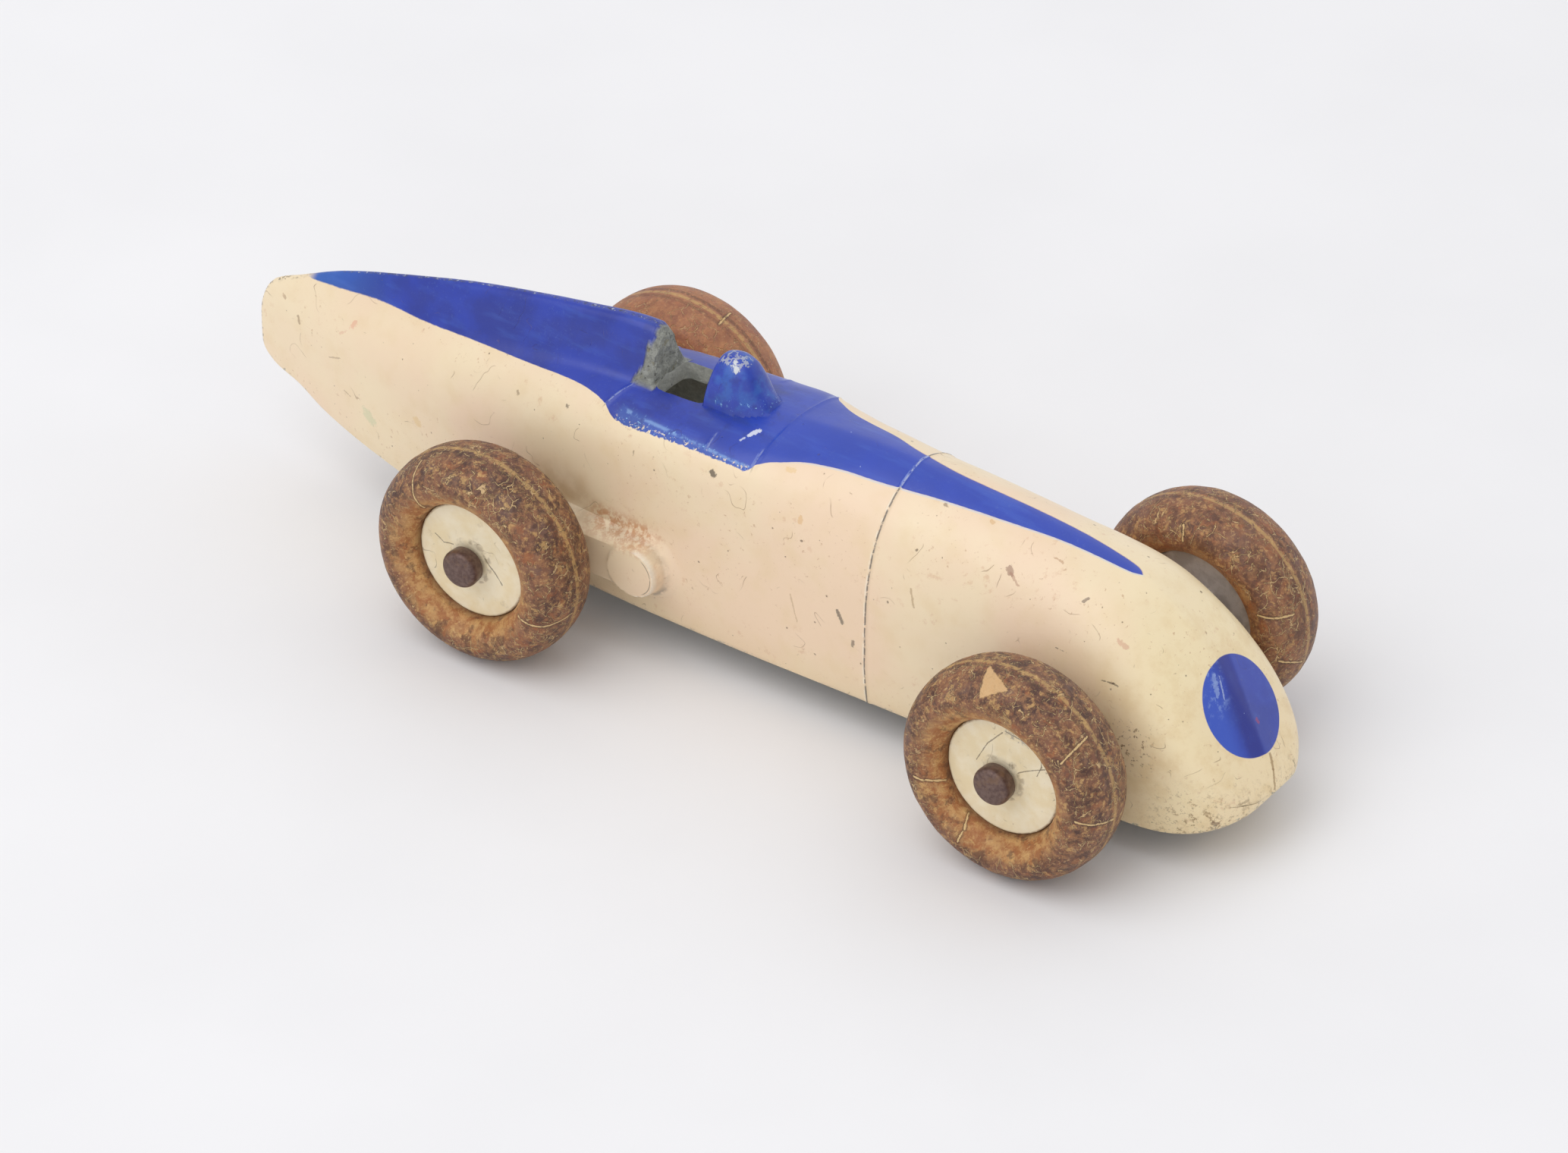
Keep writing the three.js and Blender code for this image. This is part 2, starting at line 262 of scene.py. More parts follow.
def stations():
    """Places along the body, closer together where something small has to be shaped."""
    coarse = np.arange(TAIL_S, NOSE_S, 0.5)
    dense = [
        np.arange(TAIL_S, 0.6, 0.06), np.arange(35.6, 38.2, 0.14), np.arange(38.2, 38.8, 0.04),
        np.arange(38.8, 43.6, 0.13), np.arange(43.24, 44.0, 0.06), np.arange(44.0, 48.8, 0.2),
        np.arange(50.0, 51.0, 0.12), np.arange(61.1, 61.9, 0.07), np.arange(86, 93.0, 0.22),
        np.arange(93.0, NOSE_S, 0.05),
    ]
    together = np.unique(np.round(np.concatenate([coarse] + dense), 3))
    together = together[together <= NOSE_S]
    keep = [together[0]]
    for value in together[1:]:
        if value - keep[-1] >= 0.028:
            keep.append(value)
    keep[-1] = NOSE_S
    return np.array(keep)


def outer_ring(s):
    """Whole outside ring of the body at s: y, z and the right half's point count."""
    y, z = section(s, 0.0, TOP_POINTS, FLANK_POINTS)
    deck = float(smoothed(DECK, s))
    spread = (y / float(curve(SPINE_SPREAD, s))) ** float(curve(SPINE_POWER, s))
    spine = max(0.0, float(curve(SPINE, s)) - deck) * np.exp(-spread)
    across = np.clip(y / float(curve(COWL_HALF_WIDTH, s)), 0, 1)
    cowl = max(0.0, float(curve(COWL, s)) - deck) * (1 - across ** 2.4) ** 0.7
    on_top = ramp(z, deck - 4, deck - 3)
    z = z + (spine + cowl) * on_top
    on_flank = ramp(-z, -12.5, -11.5) * ramp(y, 2.0, 3.0)
    pad = boss_share(s, z, BUTTON_S - 0.6, BUTTON_S + 0.15, BUTTON_Z, 2.45, 0.8)
    boss = boss_share(s, z, REAR_AXLE_S - 0.4, BUTTON_S - 1.6, BUTTON_Z, 2.1, 0.55)
    axle = boss_share(s, z, FRONT_AXLE_S, FRONT_AXLE_S, AXLE_Z, 2.4, 0.5)
    button = boss_share(s, z, BUTTON_S - 0.25, BUTTON_S, BUTTON_Z, 2.1, 0.15)
    y = y + (BOSS_FACE_Y - 1.1 - y) * pad * on_flank
    y = np.maximum(y, y + (BOSS_FACE_Y - 0.35 - y) * boss * on_flank)
    y = np.maximum(y, y + (BOSS_FACE_Y - y) * axle * on_flank)
    y = np.maximum(y, y + (BUTTON_FACE_Y - 0.03 * (z - BUTTON_Z) ** 2 - y) * button * on_flank)
    last_z = z[-1]
    lift = np.clip((last_z + KEEL_ROUND - z) / KEEL_ROUND, 0, 1)
    y = y - KEEL_ROUND * (1 - np.sqrt(1 - lift ** 2 * 0.9)) * min(1.0, y[-1] / 2)
    return y, z


def loft(places, rings):
    """Closed mesh through rings of equal length, given in the row's frame, in millimetres."""
    count = len(rings[0][0])
    points = []
    for s, (y, z) in zip(places, rings):
        points.append(np.column_stack([np.full(count, s + ZERO_X), y, z]))
    points = np.concatenate(points)
    i, j = np.meshgrid(np.arange(len(rings) - 1), np.arange(count), indexing="ij")
    k = (j + 1) % count
    quads = np.stack([i * count + j, (i + 1) * count + j, (i + 1) * count + k, i * count + k], axis=-1)
    faces = [tuple(face) for face in quads.reshape(-1, 4).tolist()]
    faces.append(tuple(range(count)))
    faces.append(tuple(reversed(range(len(points) - count, len(points)))))
    return points, faces


def flipped(faces):
    """The same faces, seen from the other side."""
    return [tuple(reversed(face)) for face in faces]


def mesh_object(name, points, faces):
    """New mesh object from points in millimetres, at the origin, shaded smooth."""
    mesh = bpy.data.meshes.new(name)
    mesh.from_pydata((np.asarray(points) * MM).tolist(), [], faces)
    mesh.validate()
    mesh.update()
    obj = bpy.data.objects.new(name, mesh)
    bpy.context.scene.collection.objects.link(obj)
    return obj


def whole(y, z):
    """Mirrored ring: down the left side from the crown, then up the right side."""
    return np.concatenate([y, -y[:0:-1]]), np.concatenate([z, z[:0:-1]])


def outer_body():
    """The body's outside: lofted, with its casting lines and the small unevenness of a casting."""
    places = stations()
    rings = [whole(*outer_ring(s)) for s in places]
    points, faces = loft(places, rings)
    s = points[:, 0] - ZERO_X
    lines = casting_lines(s, points[:, 1], points[:, 2])
    height = points[:, 2] - 8.0
    outward = np.column_stack([np.zeros(len(s)), points[:, 1], np.maximum(height, 0) * 0.6])
    outward /= np.maximum(np.linalg.norm(outward, axis=1, keepdims=True), 1e-6)
    uneven = 0.035 * wobble(points, 3, 11.0, 2) + 0.012 * wobble(points, 4, 2.4, 2)
    soft = ramp(s, 0.5, 2.0) * ramp(-s, 0.5 - NOSE_S, 3.0 - NOSE_S)
    above_keel = ramp(points[:, 2] - curve(KEEL, s), 0.3, 1.2)
    points += outward * ((lines + uneven * above_keel) * soft)[:, None]
    beside = np.exp(-((s - 37.4) / 0.9) ** 2 - ((np.abs(points[:, 1]) - 1.9) / 0.5) ** 2)
    points[:, 1] -= np.sign(points[:, 1]) * 0.25 * beside * ramp(points[:, 2], 21.5, 22.3)
    face_zone = ramp(s, 38.12, 38.3) * ramp(-s, -38.95, -38.8) * ramp(points[:, 2], 20.9, 21.3)
    broken = 0.22 * wobble(points * np.array([0.4, 1, 1]), 9, 1.7, 3)
    points[:, 0] += face_zone * np.minimum(broken, 0.25)
    points[:, 0] = np.clip(points[:, 0], BODY_LOW[0], BODY_HIGH[0])
    return mesh_object("body_casting_fine", points, faces)


def hollow_cutter():
    """The inside of the casting: the plain section set in by the wall, carried below the keel."""
    places = np.linspace(HOLLOW_BACK_S, HOLLOW_FRONT_S, 90)
    rings = []
    for s in places:
        y, z = section(s, WALL, 26, 12)
        z[-1] = -2.0
        rings.append(whole(y, z))
    points, faces = loft(places, rings)
    points[:, 2] += 0.05 * wobble(points, 21, 4.0, 2) * (points[:, 2] > 4)
    return mesh_object("hollow_cutter", points, faces)


def cockpit_cutter():
    """Well of the cockpit, a rounded box with the slightly uneven edge of the casting."""
    corner = 0.55
    back = COCKPIT_BACK_S
    front = COCKPIT_FRONT_S
    width = COCKPIT_HALF_WIDTH
    outline = []
    for cx, cy, start in ((front - corner, width - corner, 0), (back + corner, width - corner, 90),
                          (back + corner, -width + corner, 180), (front - corner, -width + corner, 270)):
        for step in range(7):
            angle = math.radians(start + 15 * step)
            outline.append((cx + corner * math.cos(angle), cy + corner * math.sin(angle)))
    outline = np.array(outline)
    fine = []
    for a, b in zip(outline, np.roll(outline, -1, axis=0)):
        pieces = max(1, int(np.linalg.norm(b - a) / 0.2))
        fine += [a + (b - a) * k / pieces for k in range(pieces)]
    fine = np.array(fine)
    levels = np.linspace(14, 27, 40)
    points = np.concatenate([
        np.column_stack([fine[:, 0] + ZERO_X, fine[:, 1], np.full(len(fine), z)]) for z in levels
    ])
    middle = np.array([(back + front) / 2 + ZERO_X, 0, 0])
    away = (points - middle) * np.array([1, 1, 0])
    away /= np.linalg.norm(away, axis=1, keepdims=True)
    points += away * (0.09 * wobble(points, 33, 1.6, 2))[:, None]
    count = len(fine)
    faces = []
    for level in range(len(levels) - 1):
        for k in range(count):
            n = (k + 1) % count
            a, b = level * count, (level + 1) * count
            faces.append((a + k, a + n, b + n, b + k))
    faces.append(tuple(reversed(range(count))))
    faces.append(tuple(range(len(points) - count, len(points))))
    return mesh_object("cockpit_cutter", points, faces)


def bore_cutter(s):
    """Cylinder across the body for an axle's two holes."""
    steps = 48
    angles = np.linspace(0, 2 * math.pi, steps, endpoint=False)
    ring = np.column_stack([
        ZERO_X + s + BORE_RADIUS * np.cos(angles), np.zeros(steps), AXLE_Z + BORE_RADIUS * np.sin(angles)
    ])
    points = np.concatenate([ring + [0, -20, 0], ring + [0, 20, 0]])
    faces = [(k, (k + 1) % steps, steps + (k + 1) % steps, steps + k) for k in range(steps)]
    faces = flipped(faces)
    faces.append(tuple(range(steps)))
    faces.append(tuple(reversed(range(steps, 2 * steps))))
    return mesh_object("bore_cutter", points, faces)


def cut(target, cutter):
    """Takes cutter out of target with Blender's manifold boolean, keeping each one's material."""
    modifier = target.modifiers.new("cut", "BOOLEAN")
    modifier.operation = "DIFFERENCE"
    modifier.solver = "MANIFOLD"
    modifier.object = cutter
    if hasattr(modifier, "material_mode"):
        modifier.material_mode = "TRANSFER"
    depsgraph = bpy.context.evaluated_depsgraph_get()
    made = bpy.data.meshes.new_from_object(target.evaluated_get(depsgraph), depsgraph=depsgraph)
    target.modifiers.clear()
    target.data = made
    bpy.data.objects.remove(cutter)


def shade(obj, angle=32):
    """Smooth shading, with edges sharper than angle kept sharp."""
    obj.data.polygons.foreach_set("use_smooth", [True] * len(obj.data.polygons))
    obj.data.set_sharp_from_angle(angle=math.radians(angle))


def body_casting(enamel, bare_metal):
    """The one-piece hollow casting with its cockpit and axle holes."""
    body = outer_body()
    body.data.materials.append(enamel)
    cutters = [hollow_cutter(), cockpit_cutter(), bore_cutter(FRONT_AXLE_S), bore_cutter(REAR_AXLE_S)]
    for cutter in cutters:
        cutter.data.materials.append(bare_metal)
        cut(body, cutter)
    shade(body)
    return body


# ------------------------------------------------------------------ wheels and axles

def turned(profile, segments):
    """Surface turned about Y from a closed or axis-to-axis profile of (radius, y): points and faces."""
    profile = np.asarray(profile, float)
    closed = profile[0, 0] > 1e-6
    rows = len(profile)
    angles = np.linspace(0, 2 * math.pi, segments, endpoint=False)
    points = []
    for radius, y in profile:
        x, z = radius * np.sin(angles), radius * np.cos(angles)
        points.append(np.column_stack([x, np.full(segments, y), z]))
    points = np.concatenate(points)
    faces = []
    for i in range(rows if closed else rows - 1):
        a = i * segments
        b = (i + 1) % rows * segments
        for k in range(segments):
            n = (k + 1) % segments
            faces.append((a + k, b + k, b + n, a + n))
    return points, faces


def rounded(corners, steps=5):
    """Profile through corners given as (radius, y, rounding), each turned by a short arc."""
    out = []
    count = len(corners)
    for i, (r, y, rounding) in enumerate(corners):
        here = np.array([r, y])
        before = np.array(corners[(i - 1) % count][:2])
        after = np.array(corners[(i + 1) % count][:2])
        if rounding <= 0:
            out.append(here)
            continue
        start = here + (before - here) / np.linalg.norm(before - here) * rounding
        end = here + (after - here) / np.linalg.norm(after - here) * rounding
        for t in np.linspace(0, 1, steps):
            out.append((1 - t) ** 2 * start + 2 * t * (1 - t) * here + t ** 2 * end)
    return np.array(out)


def set_attribute(obj, name, values):
    """Adds one number for each vertex, for the shaders to read."""
    attribute = obj.data.attributes.new(name, "FLOAT", "POINT")
    attribute.data.foreach_set("value", np.asarray(values, np.float32))


HUB_RADIUS = 4.83
HUB_HALF_WIDTH = 1.55
TYRE_HALF_WIDTH = 3.3
TYRE_MIDDLE = 6.72
WHEEL_CENTRE_Y = 13.1
OUTWARD = {"right": -1, "left": 1}


def hub(end, side, enamel):
    """Cast hub: flat outer face with a low ring round the axle, groove for the tyre, inner collar."""
    inner_y = BOSS_FACE_Y + 0.4 - abs(centre_of(f"{end}_{side}_tyre")[1])
    face = HUB_HALF_WIDTH
    profile = rounded([
        (BORE_RADIUS, inner_y, 0.0), (1.9, inner_y, 0.15), (1.9, -face + 0.3, 0.25), (3.9, -face, 0.3),
        (HUB_RADIUS, -face + 0.1, 0.15), (HUB_RADIUS, -face + 0.45, 0.05), (4.3, -0.9, 0.1),
        (4.3, 0.9, 0.1), (HUB_RADIUS, face - 0.45, 0.05), (HUB_RADIUS, face, 0.2),
        (3.0, face - 0.05, 0.0), (2.15, face, 0.2), (1.75, face + 0.17, 0.12),
        (BORE_RADIUS, face + 0.19, 0.0),
    ])
    points, faces = turned(profile, 120)
    rim = np.hypot(points[:, 0], points[:, 2])
    outer = ramp(points[:, 1], -0.2, 0.2)
    points[:, 1] += 0.03 * wobble(points, 51, 5.0, 2) * ramp(rim, 1.5, 2.5)
    points[:, 1] *= OUTWARD[side]
    if side == "left":
        faces = flipped(faces)
    points += centre_of(f"{end}_{side}_tyre")
    obj = mesh_object(f"{end}_{side}_hub_fine", points, faces)
    obj.data.materials.append(enamel)
    set_attribute(obj, "rim", rim)
    set_attribute(obj, "outer", outer)
    shade(obj)
    return obj


def tyre_profile():
    """Solid tyre's section: a full oval, a little flatter on its sides, with a bead under the hub."""
    reach = TYRE_RADIUS - TYRE_MIDDLE
    profile = [(4.5, -0.5), (4.8, -0.8)]
    for angle in np.linspace(-math.pi / 2 - 0.95, math.pi / 2 + 0.95, 64):
        across = math.copysign(abs(math.sin(angle)) ** 0.92, math.sin(angle))
        profile.append((TYRE_MIDDLE + reach * math.cos(angle), TYRE_HALF_WIDTH * across))
    profile += [(4.8, 0.8), (4.5, 0.5)]
    return profile


def tyre(end, side, rubber, wear):
    """Perished solid tyre: uneven, with the mould's seam round its tread."""
    points, faces = turned(tyre_profile(), 220)
    radius = np.hypot(points[:, 0], points[:, 2])
    across = points[:, 1] / TYRE_HALF_WIDTH
    centre = centre_of(f"{end}_{side}_tyre")
    outward = np.column_stack([points[:, 0], np.zeros(len(points)), points[:, 2]])
    outward *= ((radius - TYRE_MIDDLE) / radius / np.maximum(radius, 1))[:, None]
    outward[:, 1] = points[:, 1] / TYRE_HALF_WIDTH
    outward /= np.maximum(np.linalg.norm(outward, axis=1, keepdims=True), 1e-6)
    bulge = ramp(radius, 5.3, 6.2)
    field = points + centre
    lumps = 0.05 * wobble(field, 61, 5.0, 2) + 0.025 * wobble(field, 62, 1.3, 2) * wear
    points += outward * (np.minimum(lumps, 0.04) * bulge)[:, None]
    seam = np.exp(-(points[:, 1] / 0.16) ** 2) * (radius > 8)
    scale = 1 + (0.05 * seam - 0.04) / np.maximum(radius, 1)
    points[:, 0] *= scale
    points[:, 2] *= scale
    points[:, 1] *= OUTWARD[side]
    if side == "left":
        faces = flipped(faces)
    points[:, 2] = np.maximum(points[:, 2], -TYRE_RADIUS)
    obj = mesh_object(f"{end}_{side}_tyre_fine", points + centre, faces)
    obj.data.materials.append(rubber)
    set_attribute(obj, "radius", radius)
    set_attribute(obj, "across", across)
    set_attribute(obj, "wear", np.full(len(points), wear))
    shade(obj, 50)
    return obj


def axle(end, steel):
    """Wire axle: a domed head on the right, and the wire's peened and slightly lopsided end on the left."""
    tip = np.array(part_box(f"{end}_axle")[1])[1] / MM
    shoulder = abs(centre_of(f"{end}_right_tyre")[1]) + HUB_HALF_WIDTH + 0.5
    wire = 0.8
    head = 1.55
    flat = 1.15
    profile = [(0.0, -tip), (0.5 * flat, -tip + 0.02), (flat, -tip + 0.1)]
    for angle in np.linspace(12, 90, 9):
        a = math.radians(angle)
        profile.append((flat + (head - flat) * math.sin(a), -tip + 0.1 + 0.55 * (1 - math.cos(a))))
    profile += [(head - 0.05, -shoulder - 0.12), (head - 0.13, -shoulder - 0.02), (head - 0.3, -shoulder)]
    profile += [(wire + 0.02, -shoulder), (wire, -shoulder + 0.05), (wire, shoulder - 0.02)]
    profile += [(1.0, shoulder + 0.06), (1.14, shoulder + 0.25), (1.16, shoulder + 0.6)]
    reach = tip - shoulder - 0.72
    for angle in np.linspace(10, 90, 9):
        a = math.radians(angle)
        profile.append((max(0.0, 1.12 * math.cos(a)), shoulder + 0.7 + reach * math.sin(a)))
    points, faces = turned([(max(r, 0.0), y) for r, y in profile], 64)
    left = ramp(points[:, 1], shoulder, shoulder + 0.4)
    points[:, 0] *= 1 - 0.12 * left
    dents = 0.06 * wobble(points, 71, 1.1, 2)
    points[:, 0] += dents * left
    points[:, 2] -= np.abs(dents) * left
    points += [centre_of(f"{end}_axle")[0], 0, AXLE_Z]
    obj = mesh_object(f"{end}_axle_fine", points, flipped(faces))
    obj.data.materials.append(steel)
    merge_close(obj)
    shade(obj, 40)
    return obj


def merge_close(obj):
    """Joins the vertices that a turned profile leaves on its axis."""
    work = bmesh.new()
    work.from_mesh(obj.data)
    bmesh.ops.remove_doubles(work, verts=work.verts, dist=1e-7)
    bmesh.ops.recalc_face_normals(work, faces=work.faces)
    work.to_mesh(obj.data)
    work.free()


# ------------------------------------------------------------------ node helpers

def rgb(text):
    """Linear colour from a hex string in sRGB."""
    values = [int(text[i:i + 2], 16) / 255 for i in (0, 2, 4)]
    linear = [v / 12.92 if v <= 0.04045 else ((v + 0.055) / 1.055) ** 2.4 for v in values]
    return (*linear, 1.0)


class Shader:
    """A material's node tree, written as plain arithmetic on sockets. Lengths are in millimetres.

    Every node is made after the nodes that feed it, or Cycles runs out of room for large materials.
    """

    def __init__(self, name):
        self.material = bpy.data.materials.new(name)
        self.material.use_nodes = True
        self.tree = self.material.node_tree
        self.surface = self.tree.nodes["Principled BSDF"]
        coordinates = self.tree.nodes.new("ShaderNodeTexCoord")
        self.place = self.vector("SCALE", coordinates.outputs["Object"], scale=1 / MM)
        parts = self.tree.nodes.new("ShaderNodeSeparateXYZ")
        self.tree.links.new(self.place, parts.inputs[0])
        self.x, self.y, self.z = parts.outputs

    def put(self, socket, value):
        """Links another socket to this one, or sets it to a number, a vector or a hex colour."""
        if isinstance(value, bpy.types.NodeSocket):
            self.tree.links.new(value, socket)
        elif isinstance(value, str):
            socket.default_value = rgb(value)
        else:
            socket.default_value = value

    def math(self, operation, a, b=0.0, c=0.0, clamp=False):
        node = self.tree.nodes.new("ShaderNodeMath")
        node.operation = operation
        node.use_clamp = clamp
        for socket, value in zip(node.inputs, (a, b, c)):
            self.put(socket, value)
        return node.outputs[0]

    def add(self, a, b):
        return self.math("ADD", a, b)

    def sub(self, a, b):
        return self.math("SUBTRACT", a, b)

    def mul(self, a, b):
        return self.math("MULTIPLY", a, b)

    def either(self, a, b):
        return self.math("MAXIMUM", a, b)

    def both(self, a, b):
        return self.math("MULTIPLY", a, b)

    def flip(self, a):
        return self.math("SUBTRACT", 1.0, a, clamp=True)

    def vector(self, operation, a, b=(0, 0, 0), scale=1.0, value=False):
        node = self.tree.nodes.new("ShaderNodeVectorMath")
        node.operation = operation
        self.put(node.inputs[0], a)
        if operation == "SCALE":
            self.put(node.inputs["Scale"], scale)
        else:
            self.put(node.inputs[1], b)
        return node.outputs["Value" if value else "Vector"]

    def step(self, value, low, high):
        """Smooth step from 0 at low to 1 at high, or from 1 to 0 when low is above high."""
        node = self.tree.nodes.new("ShaderNodeMapRange")
        node.interpolation_type = "SMOOTHSTEP"
        node.clamp = True
        turned_over = low > high
        self.put(node.inputs["Value"], value)
        self.put(node.inputs["From Min"], min(low, high))
        self.put(node.inputs["From Max"], max(low, high))
        self.put(node.inputs["To Min"], 1.0 if turned_over else 0.0)
        self.put(node.inputs["To Max"], 0.0 if turned_over else 1.0)
        return node.outputs[0]

    def band(self, value, low, high, soft):
        """1 between low and high, fading out over twice soft round each."""
        rising = self.step(value, low - soft, low + soft)
        return self.both(rising, self.step(value, high + soft, high - soft))

    def mix(self, share, a, b):
        """Colour a where share is 0, b where it is 1."""
        node = self.tree.nodes.new("ShaderNodeMix")
        node.data_type = "RGBA"
        self.put(node.inputs["Factor"], share)
        self.put(node.inputs[6], a)
        self.put(node.inputs[7], b)
        return node.outputs[2]

    def tint(self, colour, share, strength, towards):
        """The colour, moved towards another one by share at this strength."""
        return self.mix(self.mul(share, strength), colour, towards)

    def mix_value(self, share, a, b):
        """a where share is 0, b where it is 1."""
        return self.add(self.mul(a, self.flip(share)), self.mul(b, share))

    def noise(self, size, seed=0.0, detail=3.0, roughness=0.55, place=None, distortion=0.0):
        """Smooth noise of about 0..1 with features of this size in millimetres."""
        node = self.tree.nodes.new("ShaderNodeTexNoise")
        node.noise_dimensions = "4D"
        self.put(node.inputs["Vector"], self.place if place is None else place)
        node.inputs["W"].default_value = seed
        node.inputs["Scale"].default_value = 1 / size
        node.inputs["Detail"].default_value = detail
        node.inputs["Roughness"].default_value = roughness
        node.inputs["Distortion"].default_value = distortion
        return node.outputs["Fac"]

    def patchy(self, size, seed, low, high, detail, roughness=0.55, place=None):
        """Patches of about this size: a noise, stepped from 0 at low to 1 at high."""
        return self.step(self.noise(size, seed, detail, roughness, place), low, high)

    def warped(self, size, amount, seed=0.0):
        """The place, pushed about by coloured noise."""
        node = self.tree.nodes.new("ShaderNodeTexNoise")
        node.noise_dimensions = "4D"
        self.put(node.inputs["Vector"], self.place)
        node.inputs["W"].default_value = seed
        node.inputs["Scale"].default_value = 1 / size
        node.inputs["Detail"].default_value = 3.0
        shift = self.vector("SUBTRACT", node.outputs["Color"], (0.5, 0.5, 0.5))
        return self.vector("ADD", self.place, self.vector("SCALE", shift, scale=2 * amount))

    def cells(self, size, feature="F1", seed=0.0, place=None):
        """Voronoi cells of this size, shifted by the seed."""
        shift = (seed * 7.3, seed * 3.1, seed * 5.7)
        moved = self.vector("ADD", self.place if place is None else place, shift)
        node = self.tree.nodes.new("ShaderNodeTexVoronoi")
        node.voronoi_dimensions = "3D"
        node.feature = feature
        self.put(node.inputs["Vector"], moved)
        node.inputs["Scale"].default_value = 1 / size
        return node

    def specks(self, spacing, smallest, largest, share, seed):
        """Dots of random size scattered about spacing apart: 1 inside a dot."""
        node = self.cells(spacing, seed=seed, place=self.warped(spacing * 0.5, spacing * 0.12, seed))
        distance = self.mul(node.outputs["Distance"], spacing)
        chance = self.tree.nodes.new("ShaderNodeSeparateColor")
        self.tree.links.new(node.outputs["Color"], chance.inputs[0])
        here = self.step(chance.outputs[0], 1 - share - 0.01, 1 - share + 0.01)
        small = self.math("POWER", chance.outputs[1], 3.0)
        radius = self.add(self.mul(small, largest - smallest), smallest)
        inside = self.step(self.sub(radius, distance), -0.02, 0.04)
        return self.both(here, inside)

    def hairs(self, size, width, share, seed, stretch=(1, 1, 1)):
        """Fine curved hairlines: the level line of a noise, broken by another noise."""
        place = self.vector("MULTIPLY", self.place, stretch)
        level = self.noise(size, seed, 1.5, 0.5, place, 0.6)
        line = self.step(self.math("ABSOLUTE", self.sub(level, 0.5)), width, width * 0.35)
        broken = self.step(self.noise(size * 0.8, seed + 3, 2.0), 1 - share - 0.03, 1 - share + 0.03)
        return self.both(line, broken)

    def stroke(self, start, end, radius, fuzz, out=None):
        """1 within radius of the straight line from start to end.

        fuzz, a noise of about 0..1, makes the edge ragged. With out, the surface's outward direction,
        the line is pressed onto the surface along it.
        """
        start, end = Vector(start), Vector(end)
        along = end - start
        offset = self.vector("SUBTRACT", self.place, tuple(start))
        near = 1.0
        if out is not None:
            out = Vector(out).normalized()
            along -= out * along.dot(out)
            depth = self.vector("DOT_PRODUCT", offset, tuple(out), value=True)
            offset = self.vector("SUBTRACT", offset, self.vector("SCALE", tuple(out), scale=depth))
            near = self.step(self.math("ABSOLUTE", depth), 1.8, 1.6)
        length = max(along.length, 1e-6)
        unit = tuple(along / length)
        reach = self.vector("DOT_PRODUCT", offset, unit, value=True)
        reach = self.math("MINIMUM", self.math("MAXIMUM", reach, 0.0), length)
        gap = self.vector("SUBTRACT", offset, self.vector("SCALE", unit, scale=reach))
        distance = self.vector("LENGTH", gap, value=True)
        distance = self.add(distance, self.mul(self.sub(fuzz, 0.5), radius * 3.2))
        return self.both(self.step(distance, radius * 1.15, radius * 0.7), near)

    def table(self, value, points, across, upwards):
        """A curve through a few (value, result) points, as a Float Curve."""
        share = self.mul(value, 1 / across)
        node = self.tree.nodes.new("ShaderNodeFloatCurve")
        self.put(node.inputs["Value"], share)
        line = node.mapping.curves[0]
        while len(line.points) > 2:
            line.points.remove(line.points[1])
        line.points[0].location = (points[0][0] / across, points[0][1] / upwards)
        line.points[1].location = (points[-1][0] / across, points[-1][1] / upwards)
        for x, y in points[1:-1]:
            line.points.new(x / across, y / upwards)
        for point in line.points:
            point.handle_type = "AUTO_CLAMPED"
        node.mapping.update()
        return self.mul(node.outputs[0], upwards)

    def attribute(self, name):
        node = self.tree.nodes.new("ShaderNodeAttribute")
        node.attribute_name = name
        return node.outputs["Fac"]

    def bump(self, height, depth, onto=None):
        """Adds relief of this depth, in millimetres, where height goes from 0 to 1."""
        node = self.tree.nodes.new("ShaderNodeBump")
        node.inputs["Strength"].default_value = 1.0
        node.inputs["Distance"].default_value = depth * MM
        self.put(node.inputs["Height"], height)
        if onto is not None:
            self.tree.links.new(onto, node.inputs["Normal"])
        return node.outputs["Normal"]

    def finish(self, colour, roughness, metallic=0.0, normal=None, specular=0.5):
        self.put(self.surface.inputs["Base Color"], colour)
        self.put(self.surface.inputs["Roughness"], roughness)
        self.put(self.surface.inputs["Metallic"], metallic)
        self.surface.inputs["Specular IOR Level"].default_value = specular
        if normal is not None:
            self.tree.links.new(normal, self.surface.inputs["Normal"])
        return self.material


# ------------------------------------------------------------------ materials

# Edge of the blue flash against s: distance from the middle plane on the car's right and left
FLASH_RIGHT = [
    (4.0, 0.0), (5.1, 0.4), (7.6, 0.8), (12.7, 1.3), (17.8, 2.0), (24, 2.6), (30.2, 3.3), (33, 3.7),
    (34.6, 4.1), (36.1, 4.7), (37.3, 5.4), (38.3, 5.65), (44, 5.85), (50.1, 6.05), (50.4, 5.6),
    (52, 4.6), (56, 3.35), (59.9, 2.95), (64.7, 2.35), (70.1, 1.8), (74.8, 1.2), (78.4, 0.8),
    (80.4, 0.42), (81.1, 0.0),
]
FLASH_LEFT = [
    (4.0, 0.0), (5.1, 0.4), (12.7, 1.3), (24, 2.6), (33, 3.7), (36.1, 4.7), (37.3, 5.4), (44, 5.85),
    (50.0, 5.9), (50.6, 5.0), (51.4, 4.4), (53.9, 3.1), (57.9, 2.1), (61.7, 0.95), (67.2, 0.35),
    (77.2, 0.5), (79.8, 0.5), (80.8, 0.3), (81.1, 0.0),
]
FLASH_LENGTH = 100.0
FLASH_TOP = 8.0
DISC_CENTRE = (89.8, 0.25, 10.9)
DISC_NORMAL = (0.82, 0.0, 0.57)
DISC_RADIUS = 3.93

CREAM = "f0dcb9"
CREAM_WARM = "e6cb9e"
CREAM_PINK = "efd3b4"
GRIME = "6d5538"
SPECK = "5a4630"
BLUE_BRIGHT = "2446b6"
AZURE = "2c66b8"
BARE = "97988f"
BARE_DARK = "55554f"


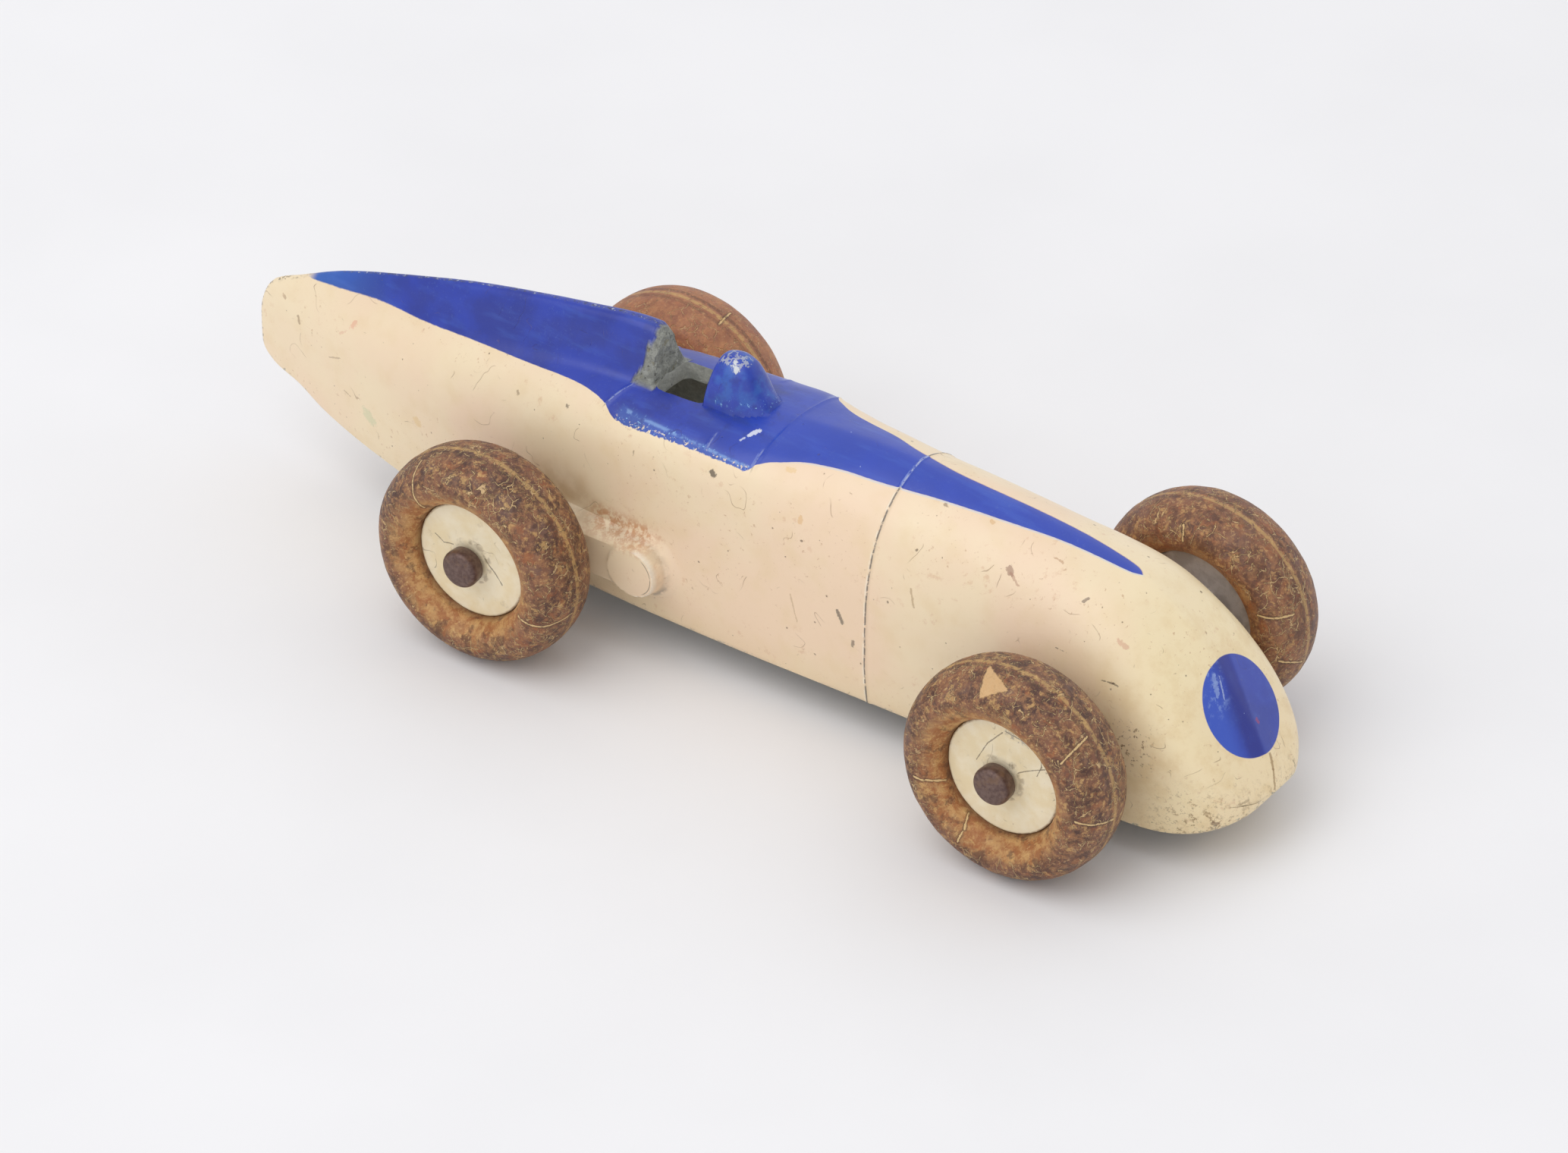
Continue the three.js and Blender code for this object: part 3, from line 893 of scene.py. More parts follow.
def row_place(s, y, z):
    """A place given by its s, in the row's frame."""
    return (s + ZERO_X, y, z)


def flash_share(m, s, side, low_edge):
    """1 on the blue flash, with its ragged and flecked lower edge beside the cockpit."""
    right = m.table(s, FLASH_RIGHT, FLASH_LENGTH, FLASH_TOP)
    left = m.table(s, FLASH_LEFT, FLASH_LENGTH, FLASH_TOP)
    limit = m.mix_value(m.step(m.y, -0.05, 0.05), right, left)
    raggedness = m.add(0.07, m.mul(low_edge, 0.3))
    ragged = m.mul(m.sub(m.noise(0.5, 5, 5, 0.65), 0.5), raggedness)
    inside = m.add(m.sub(limit, side), ragged)
    ends = m.both(m.step(s, 4.2, 5.6), m.step(m.z, 15.0, 15.6))
    share = m.both(m.step(inside, -0.03, 0.03), ends)
    return share, inside


def disc_share(m, s):
    """1 on the round blue disc on the nose."""
    offset = m.vector("SUBTRACT", m.place, row_place(*DISC_CENTRE))
    depth = m.vector("DOT_PRODUCT", offset, DISC_NORMAL, value=True)
    length = m.vector("LENGTH", offset, value=True)
    radial = m.math("SQRT", m.math("MAXIMUM", m.sub(m.mul(length, length), m.mul(depth, depth)), 0.0))
    radial = m.add(radial, m.mul(m.sub(m.noise(2.0, 70, 3), 0.5), 0.1))
    return m.both(m.step(radial, DISC_RADIUS + 0.04, DISC_RADIUS - 0.04), m.step(s, 84, 86))


def cream_paint(m, s, medium, broad):
    """Aged cream: warmer and darker low down, dirtier on the nose and round the rear boss."""
    cream = m.mix(m.step(broad, 0.35, 0.65), CREAM, CREAM_PINK)
    cream = m.tint(cream, m.step(medium, 0.45, 0.75), 0.4, CREAM_WARM)
    low = m.step(m.add(m.z, m.mul(medium, 3)), 8.0, 3.5)
    cream = m.tint(cream, low, 0.4, "e3c99a")
    cream = m.tint(cream, m.step(s, 76, 88), 0.6, "f2e0b0")
    nose = m.both(m.step(s, 76, 90), m.patchy(1.6, 8, 0.44, 0.66, 5, 0.65))
    cream = m.tint(cream, nose, 0.4, "dcbd86")
    nose_dirt = m.both(m.step(s, 85, 90), m.patchy(0.4, 71, 0.51, 0.6, 5, 0.75))
    nose_dirt = m.both(nose_dirt, m.step(m.add(m.z, m.mul(broad, 6)), 11.5, 7.5))
    cream = m.tint(cream, nose_dirt, 0.8, "927349")
    smears = m.both(m.patchy(0.8, 9, 0.57, 0.7, 5, 0.7), m.patchy(7, 10, 0.45, 0.6, 2))
    cream = m.tint(cream, smears, 0.4, "cf9f76")
    fleck = m.both(m.patchy(0.35, 72, 0.6, 0.68, 4, 0.7), m.patchy(7, 73, 0.42, 0.58, 2))
    cream = m.tint(cream, fleck, 0.55, "b98a5e")
    above_boss = m.both(m.band(s, 36.0, 42.2, 0.9), m.band(m.z, 10.0, 11.6, 0.6))
    rust = m.both(above_boss, m.patchy(0.45, 11, 0.40, 0.58, 4, 0.7))
    cream = m.tint(cream, rust, 0.8, "c98d5e")
    beside_tyre = m.both(m.band(s, 29, 36.5, 1.5), m.band(m.z, 3.5, 13.0, 1.5))
    cream = m.tint(cream, m.both(beside_tyre, m.step(medium, 0.35, 0.6)), 0.4, "b8935f")
    behind_front_tyre = m.both(m.band(s, 83.5, 86.5, 0.8), m.band(m.z, 7.5, 11.5, 0.8))
    spatter = m.both(behind_front_tyre, m.patchy(0.4, 74, 0.56, 0.62, 4, 0.7))
    return m.tint(cream, spatter, 0.75, "6f4a2c")


def blue_paint(m, s, side, low_edge, disc):
    """Blue, thin and bright where it was sprayed lightly or rubbed, with painted gloss streaks, and painted
    reflection and shade on the nose disc.
    """
    cowl = m.both(m.band(s, 43.0, 48.5, 0.3), m.step(side, 2.6, 2.2))
    cowl = m.both(cowl, m.step(m.z, 21.1, 21.6))
    thin = m.either(m.step(s, 15, 5), m.mul(low_edge, 0.45))
    thin = m.either(thin, m.mul(m.both(cowl, m.patchy(1.1, 12, 0.44, 0.66, 3)), 0.8))
    paint = m.mix(m.patchy(3.5, 14, 0.38, 0.64, 4), "182e92", "1c38a8")
    front = m.both(m.step(s, 40, 52), m.flip(disc))
    paint = m.tint(paint, front, 0.65, BLUE_BRIGHT)
    paint = m.tint(paint, thin, 0.75, AZURE)
    # Painted highlight: faint light streaks running along the car, standing in for gloss reflections on the
    # blue
    gloss_streaks = m.noise(0.8, 15, 3, place=m.vector("MULTIPLY", m.place, (0.16, 1, 1)))
    paint = m.tint(paint, m.step(gloss_streaks, 0.5, 0.75), 0.22, "4a74d0")
    deep = m.both(m.band(s, 37, 50, 1.0), m.patchy(0.9, 84, 0.5, 0.7, 4, 0.65))
    paint = m.tint(paint, deep, 0.35, "14226c")
    dust = m.both(m.patchy(0.25, 75, 0.55, 0.7, 4, 0.7), m.patchy(3.5, 76, 0.4, 0.65, 2))
    paint = m.tint(paint, dust, 0.35, "5b74b4")
    # Painted reflection and shade on the nose disc, either side of the nose's crease: brighter towards the
    # car's right, a dark painted band along the crease, lavender towards its left, and a whitish painted
    # sheen high on the right-hand part
    beyond = m.sub(m.add(m.y, m.mul(m.sub(s, 87.7), 0.45)), 1.7)
    paint = m.mix(m.both(disc, m.step(beyond, -1.2, -3.2)), paint, "2c50bc")
    paint = m.tint(paint, m.both(disc, m.band(beyond, -1.5, 0.0, 0.35)), 0.75, "101f84")
    paint = m.tint(paint, m.both(disc, m.step(beyond, -0.1, 0.3)), 0.4, "4a58ae")
    disc_sheen = m.both(disc, m.patchy(0.5, 83, 0.5, 0.66, 5, 0.7))
    disc_sheen = m.both(disc_sheen, m.both(m.band(beyond, -4.2, -1.8, 0.8), m.step(m.z, 10.5, 12.5)))
    paint = m.tint(paint, disc_sheen, 0.6, "8ca6dc")
    bits = m.both(low_edge, m.patchy(0.24, 16, 0.6, 0.65, 3, 0.7))
    low_cowl = m.both(cowl, m.step(m.z, 22.6, 21.6))
    bits = m.either(bits, m.both(low_cowl, m.patchy(0.24, 16, 0.61, 0.66, 3, 0.7)))
    return m.tint(paint, bits, 0.85, "8fc4ec")


# Marks on the body: start and end as (s, y, z), radius, colour and strength
MARKS = [
    ((47.3, -6.5, 18.6), (47.35, -6.5, 18.6), 0.3, "33281c", 1.0),
    ((48.9, -2.8, 21.0), (48.5, -3.6, 20.9), 0.2, "eef1f6", 0.95),
    ((48.35, -3.9, 20.8), (48.2, -4.2, 20.7), 0.12, "dfe5f2", 0.85),
    ((92.4, 0.2, 7.7), (93.0, -0.2, 6.8), 0.14, "94703f", 0.9),
    ((93.0, -0.2, 6.8), (93.5, -0.8, 5.6), 0.1, "94703f", 0.85),
    ((58.8, -6.9, 11.0), (59.3, -6.9, 10.1), 0.17, "3d352c", 0.9),
    ((60.3, -6.9, 8.7), (60.2, -6.9, 8.3), 0.16, "55463a", 0.85),
    ((72.3, -4.4, 18.8), (72.6, -4.6, 18.6), 0.24, "8a5b45", 0.8),
    ((72.6, -4.6, 18.6), (73.5, -5.0, 18.1), 0.11, "a06b4e", 0.6),
    ((65.4, -2.5, 20.7), (65.7, -2.6, 20.7), 0.16, "6f4c34", 0.75),
    ((78.8, -4.3, 18.4), (79.0, -4.0, 18.6), 0.14, "5d4236", 0.85),
    ((82.3, -5.0, 16.7), (83.0, -5.0, 16.4), 0.2, "c98468", 0.55),
    ((77.9, -6.5, 15.2), (79.2, -6.5, 15.1), 0.06, "4f4034", 0.8),
    ((82.0, -6.7, 14.1), (83.0, -6.6, 14.1), 0.06, "4f4034", 0.85),
    ((83.0, -6.6, 14.1), (83.9, -6.4, 13.8), 0.08, "4f4034", 0.85),
    ((65.1, -6.4, 15.2), (65.5, -6.7, 13.9), 0.09, "a5855c", 0.7),
    ((54.6, -6.9, 10.8), (55.2, -6.9, 8.5), 0.07, "b49468", 0.6),
    ((69.3, -2.2, 20.5), (69.5, -2.3, 20.5), 0.16, "cf9c52", 0.6),
    ((75.2, -2.6, 19.8), (75.9, -2.7, 19.7), 0.1, "a9743f", 0.6),
    ((55.1, -6.3, 17.5), (55.1, -6.3, 17.2), 0.2, "d9a860", 0.6),
    ((52.9, -4.8, 20.2), (53.3, -4.7, 20.2), 0.26, "e3bb70", 0.6),
    ((38.6, -6.4, 16.0), (39.6, -6.4, 16.2), 0.07, "57412f", 0.8),
    ((38.9, -6.4, 15.8), (39.3, -6.4, 16.4), 0.06, "57412f", 0.7),
    ((36.6, -6.3, 13.9), (37.3, -6.4, 14.1), 0.06, "57412f", 0.7),
    ((40.0, -6.4, 17.7), (40.0, -6.4, 17.3), 0.09, "6c523a", 0.7),
    ((2.3, -0.8, 14.7), (2.6, -0.8, 14.5), 0.15, "a88560", 0.7),
    ((4.2, -1.3, 13.6), (4.4, -1.4, 13.1), 0.13, "8d6f4f", 0.75),
    ((10.4, -2.0, 15.7), (10.2, -2.0, 15.2), 0.25, "e2a183", 0.7),
    ((10.2, -2.0, 15.2), (9.0, -2.2, 14.3), 0.12, "dca888", 0.55),
    ((7.9, -2.2, 11.7), (9.1, -2.4, 12.2), 0.08, "9c7d5a", 0.6),
    ((12.0, -3.0, 8.5), (12.5, -3.0, 8.1), 0.5, "b9c79c", 0.5),
    ((17.6, -4.1, 10.7), (17.9, -4.1, 10.4), 0.3, "ddb76a", 0.5),
    ((27.8, -4.6, 17.5), (28.0, -4.6, 17.2), 0.13, "7d6145", 0.7),
    ((32.8, -5.1, 18.4), (33.0, -5.1, 18.2), 0.15, "4c3a2a", 0.85),
    ((9.5, -2.5, 9.4), (10.2, -2.6, 9.2), 0.07, "8f7250", 0.6),
    ((91.2, -5.4, 4.3), (91.4, -5.3, 4.2), 0.2, "6b4a2c", 0.8),
    ((92.4, -4.2, 5.7), (92.8, -3.4, 5.8), 0.14, "8d7450", 0.6),
    ((93.1, 2.4, 6.1), (93.2, 2.5, 5.5), 0.09, "7b6544", 0.7),
    ((90.8, 0.7, 9.8), (90.9, 0.8, 9.6), 0.14, "a8405a", 0.7),
    ((88.0, -0.9, 13.5), (88.7, -1.5, 12.4), 0.22, "a9bfe6", 0.5),
    ((88.2, -0.5, 13.3), (89.4, -1.3, 11.8), 0.07, "c4d2ee", 0.6),
]


def worn_lines(m, s, side):
    """Where the cast lines show dark metal on the cream, with a painted highlight, a pale glint, along
    their rear, lit edge.
    """
    upper = m.step(m.z, 18.5, 19.2)
    waver = m.mul(m.sub(m.noise(1.5, 77, 3), 0.5), 0.12)
    bonnet = m.add(m.sub(m.sub(s, BONNET_LINE_S), m.mul(m.sub(m.z, 15.0), 0.02)), waver)
    behind = m.add(m.sub(m.add(s, m.mul(side, 0.47)), 38.45), waver)
    front = m.add(m.sub(s, 50.35), waver)
    middle = m.add(m.sub(s, 46.1), waver)
    dark = 0.0
    pale = 0.0
    reaches = (
        (bonnet, 1.0, 1.0), (behind, m.both(m.band(side, 2.3, 4.9, 0.2), upper), 0.6),
        (front, m.both(m.band(side, 4.3, 5.9, 0.3), upper), 0.5),
        (middle, m.both(m.band(side, 4.3, 5.6, 0.2), upper), 0.4),
    )
    for distance, reach, strength in reaches:
        reach = m.mul(reach, strength)
        here = m.step(m.math("ABSOLUTE", distance), 0.1, 0.04)
        # Painted highlight: a pale strip just behind each line, where its lit flank would catch the light
        beside = m.step(m.math("ABSOLUTE", m.add(distance, 0.14)), 0.11, 0.04)
        dark = m.either(dark, m.both(here, reach))
        pale = m.either(pale, m.both(beside, reach))
    broken = m.patchy(0.45, 17, 0.38, 0.5, 4, 0.7)
    return m.both(dark, broken), m.both(pale, m.patchy(0.7, 18, 0.42, 0.56, 3))


def enamel():
    """Body enamel: cream, with the blue flash and nose disc, chips, scratches, stains and worn edges, and
    some painted highlights, shade and reflections.
    """
    m = Shader("body_enamel")
    s = m.sub(m.x, float(ZERO_X))
    side = m.math("ABSOLUTE", m.y)
    medium = m.noise(2.2, 2, 4)
    broad = m.noise(11, 3, 3)

    flank = m.both(m.band(s, 37.6, 50.2, 0.3), m.step(m.z, 20.1, 19.8))
    low_edge = m.both(flank, m.step(m.z, 18.2, 18.6))
    flash, inside = flash_share(m, s, side, low_edge)
    flecks = m.both(m.patchy(0.26, 6, 0.57, 0.61, 3, 0.6), m.step(inside, 0.42, 0.12))
    flash = m.both(flash, m.flip(m.both(flecks, low_edge)))
    disc = disc_share(m, s)
    blue = m.either(flash, disc)
    cream = cream_paint(m, s, medium, broad)
    paint = blue_paint(m, s, side, low_edge, disc)
    colour = m.mix(blue, cream, paint)
    fringe = m.both(m.band(inside, -0.13, -0.02, 0.05), m.both(m.step(s, 50, 56), m.step(m.y, 0.3, -0.3)))
    colour = m.tint(colour, fringe, 0.5, "b4cbe6")
    red_fringe = m.both(m.band(inside, -0.08, 0.02, 0.04), m.both(m.step(s, 56, 60), m.step(m.y, 0.0, 0.2)))
    colour = m.tint(colour, red_fringe, 0.4, "9a5a72")
    shoulder = m.both(m.band(s, 37.9, 49.8, 0.4), m.band(m.z, 19.75, 19.9, 0.06))
    shoulder = m.both(shoulder, m.patchy(0.8, 78, 0.42, 0.56, 3))
    colour = m.tint(colour, m.both(shoulder, flash), 0.5, "8db4e4")

    dots = m.specks(1.3, 0.03, 0.13, 0.6, 21)
    dots = m.either(dots, m.specks(0.6, 0.015, 0.065, 0.45, 22))
    colour = m.tint(colour, dots, m.mix_value(blue, 0.7, 0.3), SPECK)
    pale_dots = m.both(blue, m.specks(1.3, 0.02, 0.07, 0.25, 23))
    colour = m.tint(colour, pale_dots, 0.7, "b8c8ee")
    hair = m.hairs(3.5, 0.0035, 0.4, 31)
    hair = m.either(hair, m.hairs(1.7, 0.006, 0.3, 35))
    colour = m.tint(colour, hair, m.mix_value(blue, 0.5, 0.12), "8a6642")
    scrapes = m.hairs(2.6, 0.006, 0.25, 39, (0.3, 1, 1))
    colour = m.mix(m.mul(scrapes, 0.3), colour, m.mix(blue, "fbf0dc", "5f7fe6"))
    pits = m.specks(4.5, 0.05, 0.2, 0.4, 41)
    colour = m.mix(m.mul(pits, 0.75), colour, m.mix(blue, "5c4632", "b4c0dc"))
    fuzz = m.noise(0.28, 50, 3, 0.7)
    for start, end, radius, tint, strength in MARKS:
        here = m.stroke(row_place(*start), row_place(*end), radius, fuzz)
        colour = m.tint(colour, here, strength * 0.78, tint)

    dark_line, painted_glint_line = worn_lines(m, s, side)
    # Painted highlight along the cast lines' rear edges: pale cream on the cream, pale blue on the blue
    colour = m.mix(m.mul(painted_glint_line, 0.6), colour, m.mix(blue, "faf0dc", "8fa4e0"))
    colour = m.mix(m.mul(dark_line, 0.85), colour, m.mix(blue, "5a5550", "a9b4d6"))

    # The rear boss's button: painted shade, a dark crescent inside its front rim, a painted highlight along
    # its front edge, and a dark grey patchy band below it
    from_button = m.vector("SUBTRACT", m.place, row_place(BUTTON_S, 0, BUTTON_Z))
    from_button = m.vector("MULTIPLY", from_button, (1, 0, 1))
    round_button = m.vector("LENGTH", from_button, value=True)
    flank_side = m.both(m.step(side, 7.0, 7.4), m.band(s, 37.5, 44, 0.2))
    # Painted shade: a dark crescent just inside the button's front rim
    rim_painted_shade = m.both(m.band(round_button, 1.72, 1.78, 0.04), m.step(s, 41.9, 42.3))
    rim_painted_shade = m.both(m.both(rim_painted_shade, flank_side), m.patchy(0.8, 79, 0.3, 0.42, 3))
    colour = m.tint(colour, rim_painted_shade, 0.8, "4d463f")
    # Painted highlight: a near-white arc along the button's front edge
    rim_painted_highlight = m.both(m.both(m.band(round_button, 1.9, 2.05, 0.06), m.step(s, 40.8, 41.4)), flank_side)
    colour = m.tint(colour, rim_painted_highlight, 0.5, "fdf6e6")
    round_foot = m.both(m.band(round_button, 2.25, 2.6, 0.2), m.step(m.z, 7.4, 6.4))
    round_foot = m.both(m.both(round_foot, m.band(s, 38.5, 44, 0.3)), m.patchy(0.6, 80, 0.4, 0.55, 3))
    colour = m.tint(colour, m.both(round_foot, m.step(side, 6, 6.4)), 0.55, "5d5a58")

    edge = m.attribute("edge")
    chipped = m.both(m.step(edge, 0.35, 0.6), m.patchy(0.3, 19, 0.53, 0.6, 5, 0.75))
    chip_on_blue = m.mix(m.patchy(0.4, 81, 0.45, 0.6, 3), "40414e", "c9d2e6")
    chip_colour = m.mix(blue, "6d6052", chip_on_blue)
    colour = m.mix(m.mul(chipped, 0.85), colour, chip_colour)
    crevice = m.both(m.attribute("crevice"), m.patchy(0.9, 20, 0.3, 0.6, 4))
    colour = m.mix(m.mul(crevice, 0.45), colour, m.mix(blue, GRIME, "2c3a66"))

    # Bare metal: the broken headrest face, worn patches on the cowl's top, chips on the nose's lip
    jagged = m.add(m.z, m.mul(m.sub(m.noise(0.8, 24, 4), 0.5), 1.6))
    crown = m.both(m.band(s, 43.3, 46.4, 0.25), m.step(jagged, 24.3, 24.5))
    ring = m.step(m.math("ABSOLUTE", m.sub(m.noise(0.9, 25, 4), 0.5)), 0.045, 0.02)
    blob = m.stroke(row_place(45.3, -0.8, 24.4), row_place(45.6, -1.0, 24.1), 0.3, fuzz)
    worn_crown = m.either(m.mul(m.both(crown, ring), 0.6), m.mul(blob, 0.9))
    headrest = m.attribute("bare")
    lip = m.both(m.step(s, 89.5, 92.5), m.step(m.add(m.z, m.mul(m.sub(medium, 0.5), 4)), 3.9, 3.5))
    lip = m.both(lip, m.patchy(0.5, 26, 0.52, 0.58, 4, 0.7))
    keel = m.both(m.attribute("keel"), m.patchy(0.6, 27, 0.56, 0.62, 4, 0.7))
    bare = m.either(m.either(headrest, worn_crown), m.either(lip, keel))
    metal = m.mix(m.patchy(0.5, 1, 0.35, 0.65, 3), BARE, "b4b5ab")
    metal = m.mix(m.patchy(0.35, 28, 0.55, 0.68, 4, 0.7), metal, BARE_DARK)
    metal = m.tint(metal, m.patchy(0.6, 82, 0.58, 0.66, 4), 0.5, "8e8560")
    metal = m.mix(worn_crown, metal, "dcdedd")
    metal = m.tint(metal, lip, 0.8, "6d655a")
    colour = m.mix(bare, colour, metal)

    roughness = m.add(0.27, m.mul(m.noise(1.3, 30, 3), 0.2))
    roughness = m.add(m.sub(roughness, m.mul(flash, 0.04)), m.mul(m.either(bare, m.mul(disc, 0.5)), 0.25))
    normal = m.bump(m.mul(m.noise(1.4, 32, 2), 0.5), 0.03)
    normal = m.bump(m.noise(0.3, 33, 3), 0.008, normal)
    holes = m.flip(m.either(m.either(pits, dots), m.either(m.mul(hair, 0.5), chipped)))
    normal = m.bump(holes, 0.04, normal)
    rough_metal = m.mul(headrest, m.noise(0.5, 34, 5, 0.75))
    normal = m.bump(rough_metal, 0.5, normal)
    return m.finish(colour, roughness, m.mul(bare, 0.4), normal, 0.7)


def casting_metal():
    """Inside of the casting: bare grey alloy, dusty and a little stained."""
    m = Shader("casting_metal")
    grain = m.noise(0.4, 1, 4, 0.65)
    stain = m.noise(3.5, 2, 4, 0.6)
    colour = m.mix(m.step(grain, 0.3, 0.7), "b4b5ac", "cfcfc5")
    colour = m.tint(colour, m.step(stain, 0.5, 0.72), 0.5, "94866f")
    overspray = m.both(m.step(m.z, 6, 3.2), m.patchy(1.2, 3, 0.4, 0.6, 4))
    colour = m.tint(colour, overspray, 0.7, CREAM_WARM)
    dots = m.specks(0.9, 0.02, 0.1, 0.4, 4)
    colour = m.tint(colour, dots, 0.7, BARE_DARK)
    normal = m.bump(grain, 0.12)
    return m.finish(colour, m.add(0.5, m.mul(grain, 0.2)), 0.25, normal)


# Cracks across the tyres, as runs of (s, y, z)
TYRE_CRACKS = [
    ((72.2, -16.3, 7.1), (73.0, -15.9, 7.0), (74.0, -14.8, 6.8)),
    ((76.1, -16.3, 2.8), (76.3, -15.6, 3.6), (76.0, -14.6, 4.4)),
    ((84.7, -16.1, 13.3), (85.1, -15.0, 14.1), (85.3, -13.7, 14.5)),
    ((86.1, -16.2, 8.8), (87.0, -14.9, 8.3), (87.5, -13.2, 7.8)),
    ((26.0, -15.4, 16.4), (26.6, -16.1, 14.9), (27.2, -15.5, 12.8)),
    ((36.2, -15.9, 6.7), (38.3, -15.8, 6.4), (39.6, -13.9, 6.6)),
    ((78.1, 10.4, 16.6), (78.3, 10.1, 16.2), (78.4, 9.9, 15.6)),
    ((85.1, 9.9, 11.6), (86.2, 10.6, 11.4), (87.0, 11.8, 11.3)),
    ((86.7, 10.5, 7.7), (87.1, 11.6, 7.2), (87.2, 12.9, 6.5)),
    ((34.1, 14.4, 16.7), (34.3, 13.5, 16.9), (34.4, 12.6, 16.9)),
]
# Corners of the chip broken out of the front right tyre's shoulder, anticlockwise from outside
TYRE_CHIP = [(76.75, -13.5, 17.25), (77.6, -16.2, 16.1), (79.6, -15.2, 17.0)]
TYRE_CHIP_OUT = (0.0, -0.5, 0.87)
# Lines round the tread: share of the half-width from the middle, colour and strength
TREAD_LINES = [(0.02, "c8a266", 0.6), (0.19, "4a3022", 0.5), (-0.15, "5a3c2a", 0.35)]


def tyre_out(s, y, z):
    """Outward direction of the tyre's surface at a place on it."""
    axle_s = FRONT_AXLE_S if s > 54 else REAR_AXLE_S
    radial = Vector((s - axle_s, 0, z - AXLE_Z)).normalized()
    middle = Vector((axle_s, math.copysign(WHEEL_CENTRE_Y, y), AXLE_Z)) + radial * TYRE_MIDDLE
    return Vector((s, y, z)) - middle


def perished_rubber():
    """Tyre rubber gone hard and brown: mottled, cracked, tan where its surface has broken, with a painted
    purple-grey sheen on its outer part.
    """
    m = Shader("tyre_rubber")
    radius = m.attribute("radius")
    across = m.attribute("across")
    wear = m.attribute("wear")
    place = m.warped(1.2, 0.45, 1)
    patches = m.noise(1.9, 2, 5, 0.64, place)
    small = m.noise(0.5, 3, 5, 0.7, place)
    skin = m.mix(m.step(patches, 0.4, 0.6), "4b2d23", "7d523b")
    skin = m.tint(skin, m.step(small, 0.45, 0.62), 0.6, "b07e52")
    inner = m.add(radius, m.mul(m.sub(patches, 0.5), 4.0))
    inner = m.step(m.add(inner, m.mul(m.sub(small, 0.5), 2.5)), 7.0, 5.5)
    ochre = m.mix(m.patchy(0.9, 11, 0.4, 0.6, 5, 0.68, place), "cf9f63", "aa6b37")
    skin = m.mix(m.mul(inner, 0.8), skin, ochre)
    red = m.patchy(1.3, 12, 0.54, 0.66, 4, 0.65, place)
    skin = m.tint(skin, red, 0.55, "a05c30")
    # Painted sheen: a patchy purple-grey reflection on the tyres' outer part
    grey = m.both(m.patchy(1.7, 13, 0.52, 0.66, 4, 0.6, place), m.step(radius, 6.6, 7.6))
    skin = m.tint(skin, grey, 0.55, "685049")
    tan = m.both(m.patchy(0.8, 4, 0.54, 0.6, 6, 0.76, place), wear)
    skin = m.tint(skin, tan, 0.62, "cda366")
    dark = m.patchy(1.1, 5, 0.52, 0.62, 5, 0.7, place)
    skin = m.tint(skin, dark, 0.6, "4a2c1e")
    grain = m.both(m.patchy(0.26, 14, 0.55, 0.63, 4, 0.75), m.step(patches, 0.35, 0.6))
    skin = m.tint(skin, grain, 0.55, "d8b27a")
    smooth = m.mix(m.patchy(1.3, 15, 0.35, 0.65, 5, 0.62), "a2664a", "c08258")
    smooth = m.tint(smooth, m.patchy(0.5, 16, 0.55, 0.68, 4, 0.7), 0.6, "d8ab78")
    smooth = m.tint(smooth, m.patchy(0.4, 17, 0.58, 0.66, 4, 0.7), 0.5, "63392a")
    colour = m.mix(m.mul(m.flip(wear), 1.2), skin, smooth)

    curved = m.warped(0.9, 0.5, 6)
    cracks = 0.0
    for size, width, seed, share in ((1.3, 0.024, 6, 0.5), (0.8, 0.03, 8, 0.53)):
        net = m.cells(size, "DISTANCE_TO_EDGE", seed, curved)
        here = m.step(net.outputs["Distance"], width * 1.6, width * 0.5)
        here = m.both(here, m.patchy(1.1, seed + 1, share, share + 0.06, 3))
        cracks = m.either(cracks, here)
    cracks = m.both(cracks, m.both(m.step(radius, 5.6, 7.0), wear))
    colour = m.tint(colour, cracks, 0.7, "e0bd88")
    fuzz = m.noise(0.4, 50, 3, 0.7)
    for run in TYRE_CRACKS:
        for start, end in zip(run, run[1:]):
            ends = row_place(*start), row_place(*end)
            out = tyre_out(*start) + tyre_out(*end)
            colour = m.tint(colour, m.stroke(*ends, 0.2, fuzz, out), 0.45, "5a3a26")
            line = m.stroke(*ends, 0.085, fuzz, out)
            colour = m.tint(colour, line, 0.9, "dfbd86")
            cracks = m.either(cracks, line)
    chip = 1.0
    out = Vector(TYRE_CHIP_OUT)
    for start, end in zip(TYRE_CHIP, TYRE_CHIP[1:] + TYRE_CHIP[:1]):
        start, end = Vector(row_place(*start)), Vector(row_place(*end))
        inward = out.cross(end - start).normalized()
        offset = m.vector("SUBTRACT", m.place, tuple(start))
        reach = m.vector("DOT_PRODUCT", offset, tuple(inward), value=True)
        chip = m.both(chip, m.step(m.add(reach, m.mul(m.sub(small, 0.5), 0.5)), -0.05, 0.08))
    chip = m.both(chip, m.both(m.step(m.y, -12.5, -13), m.step(m.z, 14.5, 15)))
    colour = m.mix(m.mul(chip, 0.9), colour, m.mix(small, "e2be8c", "cf9f68"))
    for place_across, tint, strength in TREAD_LINES:
        seam = m.step(m.math("ABSOLUTE", m.sub(across, place_across)), 0.08, 0.03)
        seam = m.both(m.both(seam, m.step(fuzz, 0.38, 0.5)), m.step(radius, 8.0, 8.3))
        colour = m.tint(colour, seam, strength, tint)
    crevice = m.step(radius, 5.1, 4.9)
    colour = m.tint(colour, crevice, 0.6, "5a3a22")
    normal = m.bump(patches, 0.15)
    normal = m.bump(small, 0.09, normal)
    normal = m.bump(m.flip(m.either(cracks, m.mul(chip, 0.8))), 0.12, normal)
    roughness = m.add(0.38, m.mul(small, 0.3))
    return m.finish(colour, roughness, 0.0, normal, 0.5)


